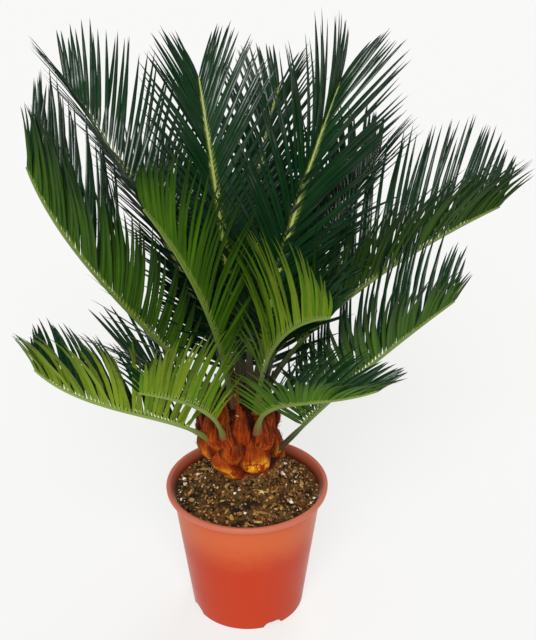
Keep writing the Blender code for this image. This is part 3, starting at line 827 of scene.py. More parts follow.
@dataclass
class Pot:
    """The moulded nursery pot, with a rolled lip and arched drain notches."""

    plastic: bpy.types.Material
    sides: int = 168
    lip_width: float = 0.0052
    lip_height: float = 0.0065
    lip_curl: float = 0.0022
    lip_fillet: float = 0.003
    lip_steps: int = 12
    base_edge: float = 0.0015
    bend_steps: int = 4
    wall_rings: int = 14
    notch_count: int = 4
    notch_width: float = 0.021
    notch_height: float = 0.007
    notch_depth: float = 0.016
    first_notch: float = 297.0

    def profile(self) -> list[tuple[float, float]]:
        """The half section, from the inside floor over the lip to the outside floor."""
        bead, curl, fillet, edge = self.lip_width / 2, self.lip_curl, self.lip_fillet, self.base_edge
        middle = RIM_RADIUS - bead
        lip_bottom = POT_HEIGHT - self.lip_height
        under_lip = lip_bottom - fillet
        angles = [math.pi / 2 * step / self.bend_steps for step in range(self.bend_steps + 1)]
        bend = [(1 - math.cos(angle), 1 - math.sin(angle)) for angle in angles]
        points = [(0.0, FLOOR), (wall_radius(FLOOR) - WALL, FLOOR)]
        points.append((wall_radius(SOIL_EDGE_HEIGHT) - WALL, SOIL_EDGE_HEIGHT))
        for step in range(self.lip_steps + 1):
            angle = math.pi * (1 - step / self.lip_steps)
            points.append((middle + bead * math.cos(angle), POT_HEIGHT - bead + bead * math.sin(angle)))
        points += [(RIM_RADIUS - curl * a, lip_bottom + curl * b) for a, b in bend[1:]]
        points += [(wall_radius(lip_bottom) + fillet * 0.35 * b, lip_bottom - fillet * a) for a, b in bend]
        for step in range(1, self.wall_rings):
            height = under_lip + (edge * 1.6 - under_lip) * step / self.wall_rings
            points.append((wall_radius(height), height))
        points += [(wall_radius(edge) - edge * a, edge * b) for a, b in bend]
        points.append((0.0, 0.0))
        return points

    def cut_notches(self, pot: bpy.types.Object) -> None:
        """Cut the arched notches out of the bottom edge."""
        cutters = []
        for index in range(self.notch_count):
            heading = self.first_notch + 360.0 * index / self.notch_count
            bm = bmesh.new()
            bmesh.ops.create_cone(bm, cap_ends=True, segments=40, radius1=self.notch_width / 2,
                                  radius2=self.notch_width / 2, depth=self.notch_depth)
            bmesh.ops.rotate(bm, verts=bm.verts, matrix=outward(heading).to_track_quat("Z", "Y").to_matrix())
            for vertex in bm.verts:
                vertex.co.z *= 2 * self.notch_height / self.notch_width
                vertex.co += outward(heading) * BASE_RADIUS
            cutters.append(from_bmesh(f"notch_{index + 1}", bm))
            cut = pot.modifiers.new(f"Notch {index + 1}", "BOOLEAN")
            cut.operation = "DIFFERENCE"
            cut.solver = "MANIFOLD"
            cut.object = cutters[-1]
        bake(pot)
        discard(*cutters)

    def build(self) -> None:
        """Make the pot and hand it over."""
        pot = turned("nursery_pot", self.profile(), self.sides)
        self.cut_notches(pot)
        dress(pot, self.plastic)
        # The inner wall is marked here, for the material's painted shade
        inside = []
        for vertex in pot.data.vertices:
            within = vertex.co.xy.length < wall_radius(vertex.co.z) - WALL * 0.6
            inside.append(1.0 if within and vertex.co.z > FLOOR * 0.9 else 0.0)
        hold(pot.data, "inside", inside)
        soften(pot.data, 30.0)
        hand_over(pot, Slot.POT, "pot")


@dataclass(frozen=True)
class Scrap:
    """A bit that lies on the soil: its place and sizes in millimetres and its turn in degrees."""

    x: float
    y: float
    long: float
    wide: float
    thick: float
    turn: float


PERLITE_STONES = [
    Scrap(-65.8, 2.7, 6.9, 4.0, 3.5, 70),
    Scrap(-67.6, 13.8, 4.0, 3.0, 2.8, 20),
    Scrap(-52.5, 11.9, 3.8, 3.0, 2.5, 10),
    Scrap(39.1, 19.4, 4.8, 3.5, 3.2, 15),
    Scrap(36.8, -3.0, 5.8, 4.2, 3.8, -20),
    Scrap(-7.5, -33.5, 3.2, 2.8, 2.5, 0),
    Scrap(-11.9, -37.5, 3.0, 2.5, 2.2, 40),
    Scrap(-1.3, -55.3, 3.5, 3.0, 2.5, 30),
    Scrap(45.6, -34.8, 4.8, 3.5, 3.0, -30),
    Scrap(-68.2, -22.5, 4.0, 2.2, 1.9, 80),
    Scrap(70.0, -19.0, 3.5, 2.8, 2.5, 10),
    Scrap(66.5, -27.8, 3.0, 2.2, 2.0, 50),
]
YELLOW_BITS = [
    Scrap(30.1, -46.8, 3.6, 2.6, 2.0, 20),
    Scrap(-30.0, -27.0, 2.8, 2.0, 1.6, 70),
    Scrap(-24.0, -41.7, 2.6, 2.0, 1.4, -10),
    Scrap(21.0, -42.0, 2.2, 1.6, 1.2, 45),
]
DRY_STAR = Scrap(15.8, -36.0, 11.0, 11.0, 5.0, 12)
STRAW = Scrap(-42.0, 10.0, 19.0, 2.6, 2.2, 26)
BARK_STRIPS = [
    Scrap(15.4, -53.6, 13.0, 3.2, 2.0, 4),
    Scrap(12.0, -63.6, 8.0, 2.6, 2.0, -8),
    Scrap(-20.0, -52.0, 7.0, 2.4, 1.6, 60),
]
CLAY_CHIPS = [
    Scrap(-43.5, -40.0, 3.4, 2.6, 1.8, 30),
    Scrap(-39.6, -36.5, 3.0, 2.4, 1.6, 80),
    Scrap(-32.7, -53.6, 3.0, 2.2, 1.6, 10),
    Scrap(-31.4, -60.3, 2.8, 2.2, 1.6, 50),
]


@dataclass
class Soil:
    """The potting mix, with crumbs, bark, perlite and scraps in its surface."""

    mix: bpy.types.Material
    crumb: bpy.types.Material
    bark: bpy.types.Material
    perlite: bpy.types.Material
    straw: bpy.types.Material
    clay: bpy.types.Material
    rings: int = 46
    sides: int = 168
    swell: float = 0.0022
    lumps_per_metre: float = 90.0
    crumble: float = 0.0011
    crumbs_per_metre: float = 330.0
    hole: float = ROOT_RADIUS + GAP
    edge: float = wall_radius(SOIL_EDGE_HEIGHT) - WALL - GAP
    calm_at_hole: float = 0.1
    calm_at_edge: float = 0.93
    flat_at_edge: float = 0.95
    mound_share: float = 0.9
    strewn_part: tuple[float, float] = (0.02, 0.985)
    scrap_lift: float = 0.0018
    scrap_tilt: float = 0.25

    def height(self, x: float, y: float) -> float:
        """How high the soil's surface is at this place."""
        part = min(1.0, max(0.0, (math.hypot(x, y) - self.hole) / (self.edge - self.hole)))
        calm = smooth_step(part, 0.0, self.calm_at_hole) * (1 - smooth_step(part, self.calm_at_edge, 1.0))
        swell = self.swell * noise.noise(Vector((x, y, 0.3)) * self.lumps_per_metre)
        fine = Vector((x, y, 0.7)) * self.crumbs_per_metre
        grains = self.crumble * (noise.noise(fine) + 0.6 * noise.noise(fine * 2.3))
        grains *= 1 - smooth_step(part, self.flat_at_edge, 1.0)
        mound = SOIL_MOUND * (1 - smooth_step(part, 0.0, self.mound_share))
        return SOIL_EDGE_HEIGHT + mound + swell * calm + grains

    def make_bed(self) -> bpy.types.Object:
        """The body of the mix, down to the pot's floor, with a hole for the trunk's root end."""
        hole, edge = self.hole, self.edge
        hole_bottom = ROOT_BOTTOM - GAP
        bottom = FLOOR + GAP
        profile = [(0.0, hole_bottom), (hole, hole_bottom)]
        rings = [step / self.rings for step in range(self.rings + 1)]
        profile += [(between((hole, edge), part), SOIL_EDGE_HEIGHT) for part in rings]
        profile += [(wall_radius(bottom) - WALL - GAP, bottom), (0.0, bottom)]
        bed = turned("soil_bed", profile, self.sides)
        is_open = np.zeros(len(bed.data.vertices))
        for vertex in bed.data.vertices:
            if abs(vertex.co.z - SOIL_EDGE_HEIGHT) > GAP:
                continue
            part = (vertex.co.xy.length - hole) / (edge - hole)
            vertex.co.z = self.height(vertex.co.x, vertex.co.y)
            vertex.co.x += ROOT_X * (1 - smooth_step(part, 0.0, 1.0))
            is_open[vertex.index] = self.strewn_part[0] < part < self.strewn_part[1]
        hold(bed.data, "open", is_open)
        dress(bed, self.mix)
        soften(bed.data, 60.0)
        return bed

    def lay(self, name: str, shape: bpy.types.Object, scraps: list[Scrap], finish: bpy.types.Material,
            tones: tuple[float, float] = (0.3, 0.9)) -> None:
        """Lay copies of one shape at chosen places, as one piece.

        Args:
            name: The piece's name.
            shape: The shape, about 2 across, which is used up.
            scraps: Where they lie.
            finish: Their material.
            tones: The least and the greatest tone.
        """
        bm = bmesh.new()
        tone = bm.verts.layers.float.new("tone")
        for number, scrap in enumerate(scraps):
            before = len(bm.verts)
            bm.from_mesh(shape.data)
            bm.verts.ensure_lookup_table()
            turn = Euler((self.scrap_tilt * math.sin(number * 2.3), self.scrap_tilt * math.cos(number * 1.7),
                          math.radians(scrap.turn)))
            x, y = scrap.x / 1000, scrap.y / 1000
            rest = Vector((x, y, self.height(x, y) + self.scrap_lift + scrap.thick * 0.0002))
            sizes = (scrap.long, scrap.wide, scrap.thick)
            for vertex in bm.verts[before:]:
                sized = Vector(a * b for a, b in zip(vertex.co, sizes))
                sized.rotate(turn)
                vertex.co = rest + sized / 2000
                vertex[tone] = between(tones, (number * GOLDEN) % 1.0)
        piece = from_bmesh(name, bm, finish)
        discard(shape)
        soften(piece.data, 50.0)
        hand_over(piece, Slot.SOIL)

    def build(self) -> None:
        """Make the bed and what lies on it, and hand each piece over."""
        bed = self.make_bed()
        hand_over(bed, Slot.SOIL, "soil")
        strewn = (
            ("soil_crumbs", lump("crumb", 3.1, stretch=(1.0, 0.8, 0.6)), self.crumb,
             dict(Count_Density=110000.0, Smallest=0.0005, Largest=0.0022, Tilt=0.6, Sink=0.1, Seed=11)),
            ("soil_clods", lump("clod", 7.7, 2, 0.5, (1.0, 0.85, 0.7)), self.crumb,
             dict(Count_Density=20000.0, Smallest=0.0009, Largest=0.0028, Tilt=0.8, Sink=0.0, Seed=23)),
            ("bark_bits", lump("bark", 5.2, 1, 0.3, (1.6, 0.55, 0.28)), self.bark,
             dict(Count_Density=16000.0, Smallest=0.0004, Largest=0.0018, Tilt=0.35, Sink=0.25, Seed=37)),
            ("perlite_grains", lump("perlite", 9.4, 1, 0.3, (1.0, 0.85, 0.8)), self.perlite,
             dict(Count_Density=8000.0, Smallest=0.0003, Largest=0.0014, Tilt=1.0, Sink=0.5, Seed=41)),
        )
        for name, bit, finish, values in strewn:
            strew(bed.data.copy(), name, bit, finish, Slot.SOIL, **values)
        self.lay("perlite_stones", lump("stone", 2.2, 2), PERLITE_STONES, self.perlite)
        self.lay("yellow_bits", lump("bit", 4.4, 2, 0.5), YELLOW_BITS, self.straw, (0.6, 1.0))
        self.lay("dry_star", star("star", 5, 0.36, 0.5), [DRY_STAR], self.straw, (1.1, 1.1))
        self.lay("straw_scrap", lump("straw", 6.1, 2, 0.25), [STRAW], self.straw, (0.3, 0.5))
        self.lay("bark_strips", lump("strip", 8.3, 2, 0.3), BARK_STRIPS, self.bark, (0.7, 1.0))
        self.lay("clay_chips", lump("chip", 1.7, 1, 0.4), CLAY_CHIPS, self.clay)


@dataclass(frozen=True)
class Spiral:
    """Old leaf bases up a spiral, with sizes for the lowest and for the highest one."""

    count: int
    first_heading: float
    foot: tuple[float, float]
    tall: tuple[float, float]
    width: tuple[float, float]
    deep: tuple[float, float]
    lean: float
    point: float
    seed: float
    turn: float = 137.5
    jitter: float = 0.003
    variation: float = 0.3
    # how polished its bases are, and how strong their painted highlight is
    glow: float = 1.0


KNOBS = Spiral(14, 242, (0.171, 0.203), (0.040, 0.046), (0.034, 0.029), (0.023, 0.015), 0.0, 0.45, 4.0)
SCALE_LEAVES = Spiral(14, 254, (0.202, 0.226), (0.048, 0.044), (0.024, 0.018), (0.011, 0.009), 0.006, 0.75,
                      9.0, glow=0.35)
FINE_SCALES = Spiral(20, 230, (0.208, 0.234), (0.044, 0.038), (0.012, 0.008), (0.006, 0.004), 0.007, 0.85,
                     15.0, glow=0.1)


@dataclass
class Trunk:
    """The caudex: a neck in the soil, felted leaf bases up a spiral, and upright stubs in the crown."""

    felt: bpy.types.Material
    crumb: bpy.types.Material
    crown_x: float = -0.008
    crown_top: float = 0.264
    lean_from: float = 0.166
    lean_to: float = 0.205
    outline: tuple[tuple[float, float], ...] = (
        (NECK_TOP, ROOT_RADIUS), (0.174, 0.0315), (0.184, 0.0335), (0.200, 0.0365),
        (0.225, 0.0375), (0.245, 0.034), (0.256, 0.025), (0.262, 0.014),
    )
    scale_sunk: float = 0.001
    neck_fade: tuple[float, float] = (0.172, 0.182)
    bulb_swell: float = 0.003
    # the painted highlight fades, by the share below, on bases whose foot lies between these heights
    glow_heights: tuple[float, float] = (0.176, 0.192)
    highlight_falloff: float = 0.85
    shoulder: float = 0.252
    core_faces: tuple[int, int] = (64, 56)
    broad_faces: tuple[int, int] = (36, 28)
    fine_faces: tuple[int, int] = (14, 18)
    broad_from: float = 0.016
    rounded_end: float = 0.30
    bark_relief: float = 0.03
    thread_depth: float = 0.0008
    sway: float = 0.0012
    thread_lean: float = -66.0
    stub_foot: float = 0.235
    stub_radius: float = 0.0032
    stub_faces: tuple[int, int] = (14, 22)
    stub_bend: float = 0.0015
    felt_heights: tuple[float, float] = (0.190, 0.222)
    crumb_heights: tuple[float, float] = (0.158, 0.163)
    stubs: tuple[tuple[float, float, float, float], ...] = (
        (268, 0.031, 0.296, 0.004), (250, 0.033, 0.276, 0.003), (312, 0.033, 0.272, 0.006),
        (222, 0.034, 0.266, 0.006), (340, 0.033, 0.268, 0.006), (30, 0.033, 0.272, 0.006),
        (75, 0.022, 0.278, 0.005), (150, 0.033, 0.270, 0.006),
    )

    def axis(self, height: float) -> Vector:
        """The trunk's middle at this height."""
        lean = smooth_step(height, self.lean_from, self.lean_to)
        return Vector((ROOT_X + (self.crown_x - ROOT_X) * lean, 0.0, height))

    def radius(self, height: float) -> float:
        """The trunk's radius under its leaf bases."""
        heights, radii = zip(*self.outline)
        return float(np.interp(height, heights, radii))

    def add_core(self, bm: bmesh.types.BMesh) -> None:
        """The trunk's body, from its root end to the crown."""
        made = add_ball(bm, self.core_faces)
        tone, dry, gap = (bm.verts.layers.float[name] for name in ("tone", "dry", "gap"))
        places = {}
        for vertex in made:
            unit = vertex.co.copy()
            part = math.acos(max(-1.0, min(1.0, -unit.z))) / math.pi
            height = ROOT_BOTTOM + (self.crown_top - ROOT_BOTTOM) * part
            reach = min(1.0, math.sin(math.pi * part) / self.rounded_end)
            heading = math.atan2(unit.y, unit.x)
            if height < NECK_TOP:
                width = ROOT_RADIUS * reach
            else:
                bark = ring_noise(heading, 3.0, height * 260)
                width = self.radius(height) * (1 - self.bark_relief + self.bark_relief * bark) * reach
                swell = smooth_step(height, NECK_TOP - 0.004, NECK_TOP + 0.004)
                swell *= 1 - smooth_step(height, *self.neck_fade)
                width += self.bulb_swell * swell * (1 + ring_noise(heading, 2.2, height * 90))
            flat = unit.xy.normalized() if unit.xy.length > 1e-6 else unit.xy
            vertex.co = self.axis(height) + Vector((*(flat * width), 0.0))
            heading = math.atan2(vertex.co.y, vertex.co.x)
            places[vertex] = (0.5 + 0.2 * math.sin(heading * 3), 0.35)
            vertex[tone] = 0.3
            vertex[dry] = 1.0 - smooth_step(height, *self.neck_fade)
            # painted shade: the core above the neck, seen between the bases, is marked for near-black colour
            vertex[gap] = 1.0 - vertex[dry]
        write_uv(bm, places)

    def add_base(self, bm: bmesh.types.BMesh, spiral: Spiral, index: int) -> None:
        """One old leaf base: rounded at the bottom, it runs up into a point, with threads along it.

        Args:
            bm: The mesh that it joins.
            spiral: The spiral that it belongs to.
            index: Its place on the spiral, from the bottom.
        """
        part = index / (spiral.count - 1)
        out = outward(spiral.first_heading + spiral.turn * index)
        side = Vector((-out.y, out.x, 0.0))
        foot = between(spiral.foot, part)
        foot += spiral.jitter * noise.noise(Vector((index * 1.7, spiral.seed, 0.0)))
        size = 1.0 + spiral.variation * noise.noise(Vector((index * 2.9, spiral.seed, 3.0)))
        made = add_ball(bm, self.broad_faces if spiral.width[0] > self.broad_from else self.fine_faces)
        tone, dry, glow = (bm.verts.layers.float[name] for name in ("tone", "dry", "glow"))
        shade = (index * GOLDEN + spiral.seed * 0.37) % 1.0
        places = {}
        for vertex in made:
            across, depth, up = vertex.co
            rise = (up + 1) / 2
            places[vertex] = ((across + 1) / 2, rise)
            narrow = 1.0 - spiral.point * smooth_step(rise, 0.4, 1.0)
            height = foot + between(spiral.tall, part) * size * rise
            carried = self.radius(min(height, self.shoulder)) - self.scale_sunk + spiral.lean * rise
            threads = noise.noise(Vector((across * 9.0, rise * 1.6, index * 3.3)))
            threads += 0.5 * noise.noise(Vector((across * 21.0, rise * 2.6, index * 5.1)))
            relief = self.thread_depth * threads * smooth_step(depth, -0.3, 0.5) * (spiral.deep[0] / 0.02)
            distance = carried + between(spiral.deep, part) / 2 * depth * narrow + relief
            sway = self.sway * noise.noise(Vector((rise * 2.0, index * 2.1, 0.5)))
            sideways = between(spiral.width, part) / 2 * size * across * narrow + sway
            vertex.co = self.axis(height) + out * distance + side * sideways
            vertex[tone] = shade
            vertex[dry] = 0.0
            # painted highlight: weaker on bases that start higher up
            vertex[glow] = spiral.glow * (1 - self.highlight_falloff * smooth_step(foot, *self.glow_heights))
        write_uv(bm, places)

    def add_stub(self, bm: bmesh.types.BMesh, index: int) -> None:
        """One thin upright stub, the rest of an old scale leaf.

        Args:
            bm: The mesh that it joins.
            index: Which stub it is.
        """
        heading, reach, top_height, lean = self.stubs[index]
        out = outward(heading)
        foot = self.axis(self.stub_foot) + out * reach
        top = self.axis(self.stub_foot) + out * (reach + lean)
        top.z = top_height
        made = add_ball(bm, self.stub_faces)
        tone, dry = (bm.verts.layers.float[name] for name in ("tone", "dry"))
        places = {}
        for vertex in made:
            across, depth, up = vertex.co
            rise = (up + 1) / 2
            places[vertex] = ((across + 1) / 2, between((0.30, 0.55), rise))
            full = 1.0 / max(0.35, math.sqrt(max(0.0, 1 - up * up)))
            width = self.stub_radius * min(full, 2.0) * between((1.0, 0.3), rise)
            bend = self.stub_bend * math.sin(rise * 3 + index)
            ridge = 1 + 0.18 * noise.noise(Vector((across * 3, depth * 3, rise * 2 + index)))
            offset = Vector((across * width * ridge + bend, depth * width * ridge, 0.0))
            vertex.co = foot.lerp(top, rise) + offset
            vertex[tone] = (index * 0.37) % 1.0
            vertex[dry] = 0.12
        write_uv(bm, places)

    def open_part(self, trunk: bpy.types.Object, heights: tuple[float, float],
                  on_neck: bool) -> bpy.types.Mesh:
        """A copy of the trunk's mesh that says where bits may be strewn.

        Args:
            trunk: The trunk.
            heights: Where the bits set in, and where they stand thickest.
            on_neck: Whether they lie on the dry neck, or else on the leaf bases.

        Returns:
            The mesh.
        """
        mesh = trunk.data.copy()
        spread = []
        for vertex, dryness in zip(mesh.vertices, mesh.attributes["dry"].data):
            share = dryness.value if on_neck else 1.0 - dryness.value
            spread.append(smooth_step(vertex.co.z, *heights) * share)
        hold(mesh, "open", spread)
        return mesh

    def make_thread(self) -> bpy.types.Object:
        """One thread of felt, 1 long, which leans up from the surface it stands on."""
        bm = bmesh.new()
        bmesh.ops.create_cone(bm, cap_ends=True, segments=3, radius1=0.045, radius2=0.008, depth=1.0)
        lean = Euler((math.radians(self.thread_lean), 0.0, 0.0))
        bmesh.ops.rotate(bm, verts=bm.verts, matrix=lean.to_matrix())
        return from_bmesh("thread", bm)

    def build(self) -> None:
        """Make the trunk and its felt, and hand them over."""
        bm = bmesh.new()
        for name in ("tone", "dry", "glow", "gap"):
            bm.verts.layers.float.new(name)
        bm.loops.layers.uv.new("UVMap")
        self.add_core(bm)
        for spiral in (KNOBS, SCALE_LEAVES, FINE_SCALES):
            for index in range(spiral.count):
                self.add_base(bm, spiral, index)
        for index in range(len(self.stubs)):
            self.add_stub(bm, index)
        sort_faces(bm)
        trunk = from_bmesh("felted_trunk", bm, self.felt, smooth=True)
        strew(self.open_part(trunk, self.felt_heights, False), "trunk_threads", self.make_thread(), self.felt,
              Slot.TRUNK, Count_Density=80000.0, Smallest=0.0025, Largest=0.0090, Tilt=0.22, Sink=0.1, Seed=5)
        strew(self.open_part(trunk, self.crumb_heights, True), "neck_crumbs",
              lump("neck_crumb", 2.6, stretch=(1.0, 0.8, 0.6)), self.crumb, Slot.SOIL,
              Count_Density=230000.0, Smallest=0.0005, Largest=0.0028, Tilt=0.6, Sink=0.1, Seed=17)
        hand_over(trunk, Slot.TRUNK, "caudex")


@dataclass(frozen=True)
class FrondShape:
    """One frond: where it leaves the trunk, how it arches, and how its two rows of leaflets stand.

    Angles are in degrees and lengths in millimetres. The stalk starts at `reach` from the plant's axis
    and at `height`, on the side of `base_heading` where one is given. Its heading goes from `heading`
    by `swing` over the `length`, and its steepness from `rise` to `fall`, the later the larger `bend`
    is. `upturn` is how much steeper its tip turns, `roll` how far it leans to one side, and `petiole`
    how long it is below the leaflets. `vee` is how far the leaflets stand up from the stalk's sides,
    and `low` and `high` are their angles to it at its two ends. `longest` is their greatest length:
    past `full` they shorten to `tip` of it, the lowest ones start at `first` of it, and the left row
    is `left` times as long as the right one. `droop` is how far the right row's lowest leaflets hang
    below the others, `arch` how much the leaflets bend, `fresh` how new and how lit the frond
    is, from 0 to 1, and `pitch` how far apart they stand. A high `fresh` makes the leaflets'
    lower side yellow-green and bright, and so paints light on fronds that face the light; a low one
    makes the leaflets and the stalk dark, and so paints shade on hidden inner fronds.
    """

    heading: float
    swing: float
    rise: float
    fall: float
    length: float
    reach: float
    height: float
    bend: float = 1.3
    petiole: float = 60.0
    base_heading: float | None = None
    roll: float = 0.0
    vee: float = 35.0
    longest: float = 105.0
    low: float = 75.0
    high: float = 25.0
    full: float = 0.55
    tip: float = 0.38
    left: float = 1.0
    first: float = 0.42
    upturn: float = 0.0
    droop: float = 0.0
    arch: float = 1.3
    fresh: float = 0.35
    pitch: float = 5.0


# The value that makes a frond's colours brighter is high on fronds that face the light and low on hidden
# inner fronds: painted light and shade
FRONDS = [
    FrondShape(142, 5, 64, 46, 350, 18, 258, bend=0.8, petiole=65, longest=130, vee=36, full=0.5, fresh=0.15,
               pitch=6.4),
    FrondShape(198, -30, 51, 74, 302, 28, 255, bend=4, longest=130, vee=52, roll=8, low=60, high=30, full=0.6,
               tip=0.55, left=0.88, first=0.62, droop=80, arch=1.8, fresh=0.30, pitch=4.2),
    FrondShape(238, 0, 80, 50, 280, 25, 255, bend=0.8, petiole=62, longest=98, vee=58, roll=20, low=65,
               high=22, full=0.4, first=0.55, arch=2.0, fresh=0.56, pitch=4.2),
    FrondShape(290, 14, 84, 24, 215, 34, 255, bend=0.8, petiole=48, longest=112, vee=58, roll=-20, high=60,
               full=0.15, tip=0.25, first=0.5, arch=2.6, fresh=0.92, pitch=4.0),
    FrondShape(0, 25, 72, 15, 306, 20, 260, bend=0.6, petiole=60, longest=108, vee=57, roll=-2, low=56,
               high=40, tip=0.34, left=1.2, first=0.7, arch=1.8, fresh=0.26, pitch=4.2),
    FrondShape(338, 20, 53, 41, 246, 36, 200, petiole=40, vee=45, high=40, first=0.8, arch=1.8, fresh=0.35,
               pitch=4.4),
    FrondShape(278, 74, 80, 2, 188, 42, 234, bend=0.55, petiole=35, base_heading=286, longest=72, vee=42,
               low=85, high=14, full=0.25, tip=0.42, upturn=24, arch=2.2, fresh=0.70, pitch=3.8),
    FrondShape(252, -42, 74, 24, 153, 43, 224, bend=0.6, petiole=40, base_heading=240, longest=80, vee=40,
               roll=30, low=80, high=65, tip=0.3, arch=2.6, fresh=0.93, pitch=3.8),
    FrondShape(236, -80, 70, 2, 216, 40, 207, bend=0.5, petiole=50, base_heading=213, longest=90, vee=42,
               roll=22, low=85, high=42, tip=0.40, upturn=34, arch=2.6, fresh=1.0, pitch=3.9),
    FrondShape(160, 5, 28, 18, 96, 34, 232, petiole=30, longest=85, low=60, tip=0.8, fresh=0.2),
    FrondShape(120, -15, 80, 55, 310, 14, 262, petiole=40, longest=118, vee=30, low=65, first=0.8, fresh=0.2),
    FrondShape(36, 18, 79, 52, 315, 12, 262, petiole=45, longest=132, vee=40, roll=45, low=58, high=18,
               first=0.8, fresh=0.2, pitch=5.2),
    FrondShape(32, 14, 75, 38, 268, 20, 260, bend=0.8, petiole=30, base_heading=28, longest=110, tip=0.3,
               first=0.8, fresh=0.15),
    FrondShape(93, -25, 74, 42, 310, 14, 262, petiole=30, base_heading=76, first=0.8, fresh=0.15),
    FrondShape(128, 0, 62, 25, 270, 26, 250, petiole=22, first=0.9, fresh=0.1),
    FrondShape(95, 0, 55, 18, 260, 34, 240, petiole=20, first=0.9, fresh=0.1),
    FrondShape(62, 0, 60, 22, 240, 30, 245, petiole=20, first=0.9, fresh=0.1),
]


class Curve:
    """A frond's path, with the directions along it, upward from it and to its side."""

    STEPS = 96
    UPTURN_POWER = 4
    ROOT_DIVE = 0.010
    ROOT_INWARD = 0.012
    INNER_REACH = 18
    OUTER_REACH = 46

    def __init__(self, shape: FrondShape) -> None:
        self.shape = shape
        self.length = shape.length / 1000
        self.places = np.linspace(0.0, 1.0, self.STEPS + 1)
        along, up, side = self.directions(self.places)
        middle, _, _ = self.directions((self.places[1:] + self.places[:-1]) / 2)
        self.out = outward(shape.heading if shape.base_heading is None else shape.base_heading)
        base = np.array(self.out) * shape.reach / 1000
        base[2] = shape.height / 1000
        steps = np.cumsum(middle * self.length / self.STEPS, axis=0)
        self.table = np.hstack([np.vstack([base, base + steps]), along, up, side])

    def directions(self, place: np.ndarray) -> tuple[np.ndarray, np.ndarray, np.ndarray]:
        """Unit vectors along the stalk, upward from it and to its side, at places from 0 to 1."""
        shape = self.shape
        steep = shape.rise + (shape.fall - shape.rise) * place**shape.bend
        steep = np.radians(steep + shape.upturn * place**self.UPTURN_POWER)
        heading = np.radians(shape.heading + shape.swing * place)
        flat, lift = np.cos(steep), np.sin(steep)
        along = np.stack([flat * np.cos(heading), flat * np.sin(heading), lift], 1)
        up = np.stack([-lift * np.cos(heading), -lift * np.sin(heading), flat], 1)
        side = np.cross(along, up)
        roll = math.radians(shape.roll)
        level, tipped = math.cos(roll), math.sin(roll)
        return along, up * level + side * tipped, side * level - up * tipped

    def at(self, place: float) -> tuple[Vector, Vector, Vector, Vector]:
        """Position, and the directions along, up and to the side, at a place from 0 to 1."""
        row = [float(np.interp(place, self.places, column)) for column in self.table.T]
        position = Vector(row[0:3])
        if place < 0:
            dive = smooth_step(self.shape.reach, self.INNER_REACH, self.OUTER_REACH)
            inward = self.out * self.ROOT_INWARD * dive
            position -= (Vector(row[3:6]) * self.ROOT_DIVE + inward) * min(1.0, -place)
        return position, Vector(row[3:6]), Vector(row[6:9]), Vector(row[9:12])

    def leafy(self, part: float) -> float:
        """The place on the stalk that lies this far, from 0 to 1, along the stretch with leaflets."""
        start = self.shape.petiole / self.shape.length
        return start + (1 - start) * part


# A ribbon's faces: two of four corners, and its tip
RIBBON_FACES = [(0, 1, 3, 2), (2, 3, 5, 4), (4, 5, 6)]


@dataclass(frozen=True)
class Leaflet:
    """Where one leaflet stands, how it points and how long it is."""

    foot: Vector
    axis: Vector
    flat: Vector
    along: Vector
    reach: float
    arch: float

    def point(self, part: float, bow: float, sickle: float) -> Vector:
        """A point this far, from 0 to 1, along its bent middle line."""
        line = self.foot + self.axis * self.reach * part
        line += self.flat * bow * self.arch * self.reach * 4 * part * (1 - part)
        return line + self.along * sickle * self.reach * part * part


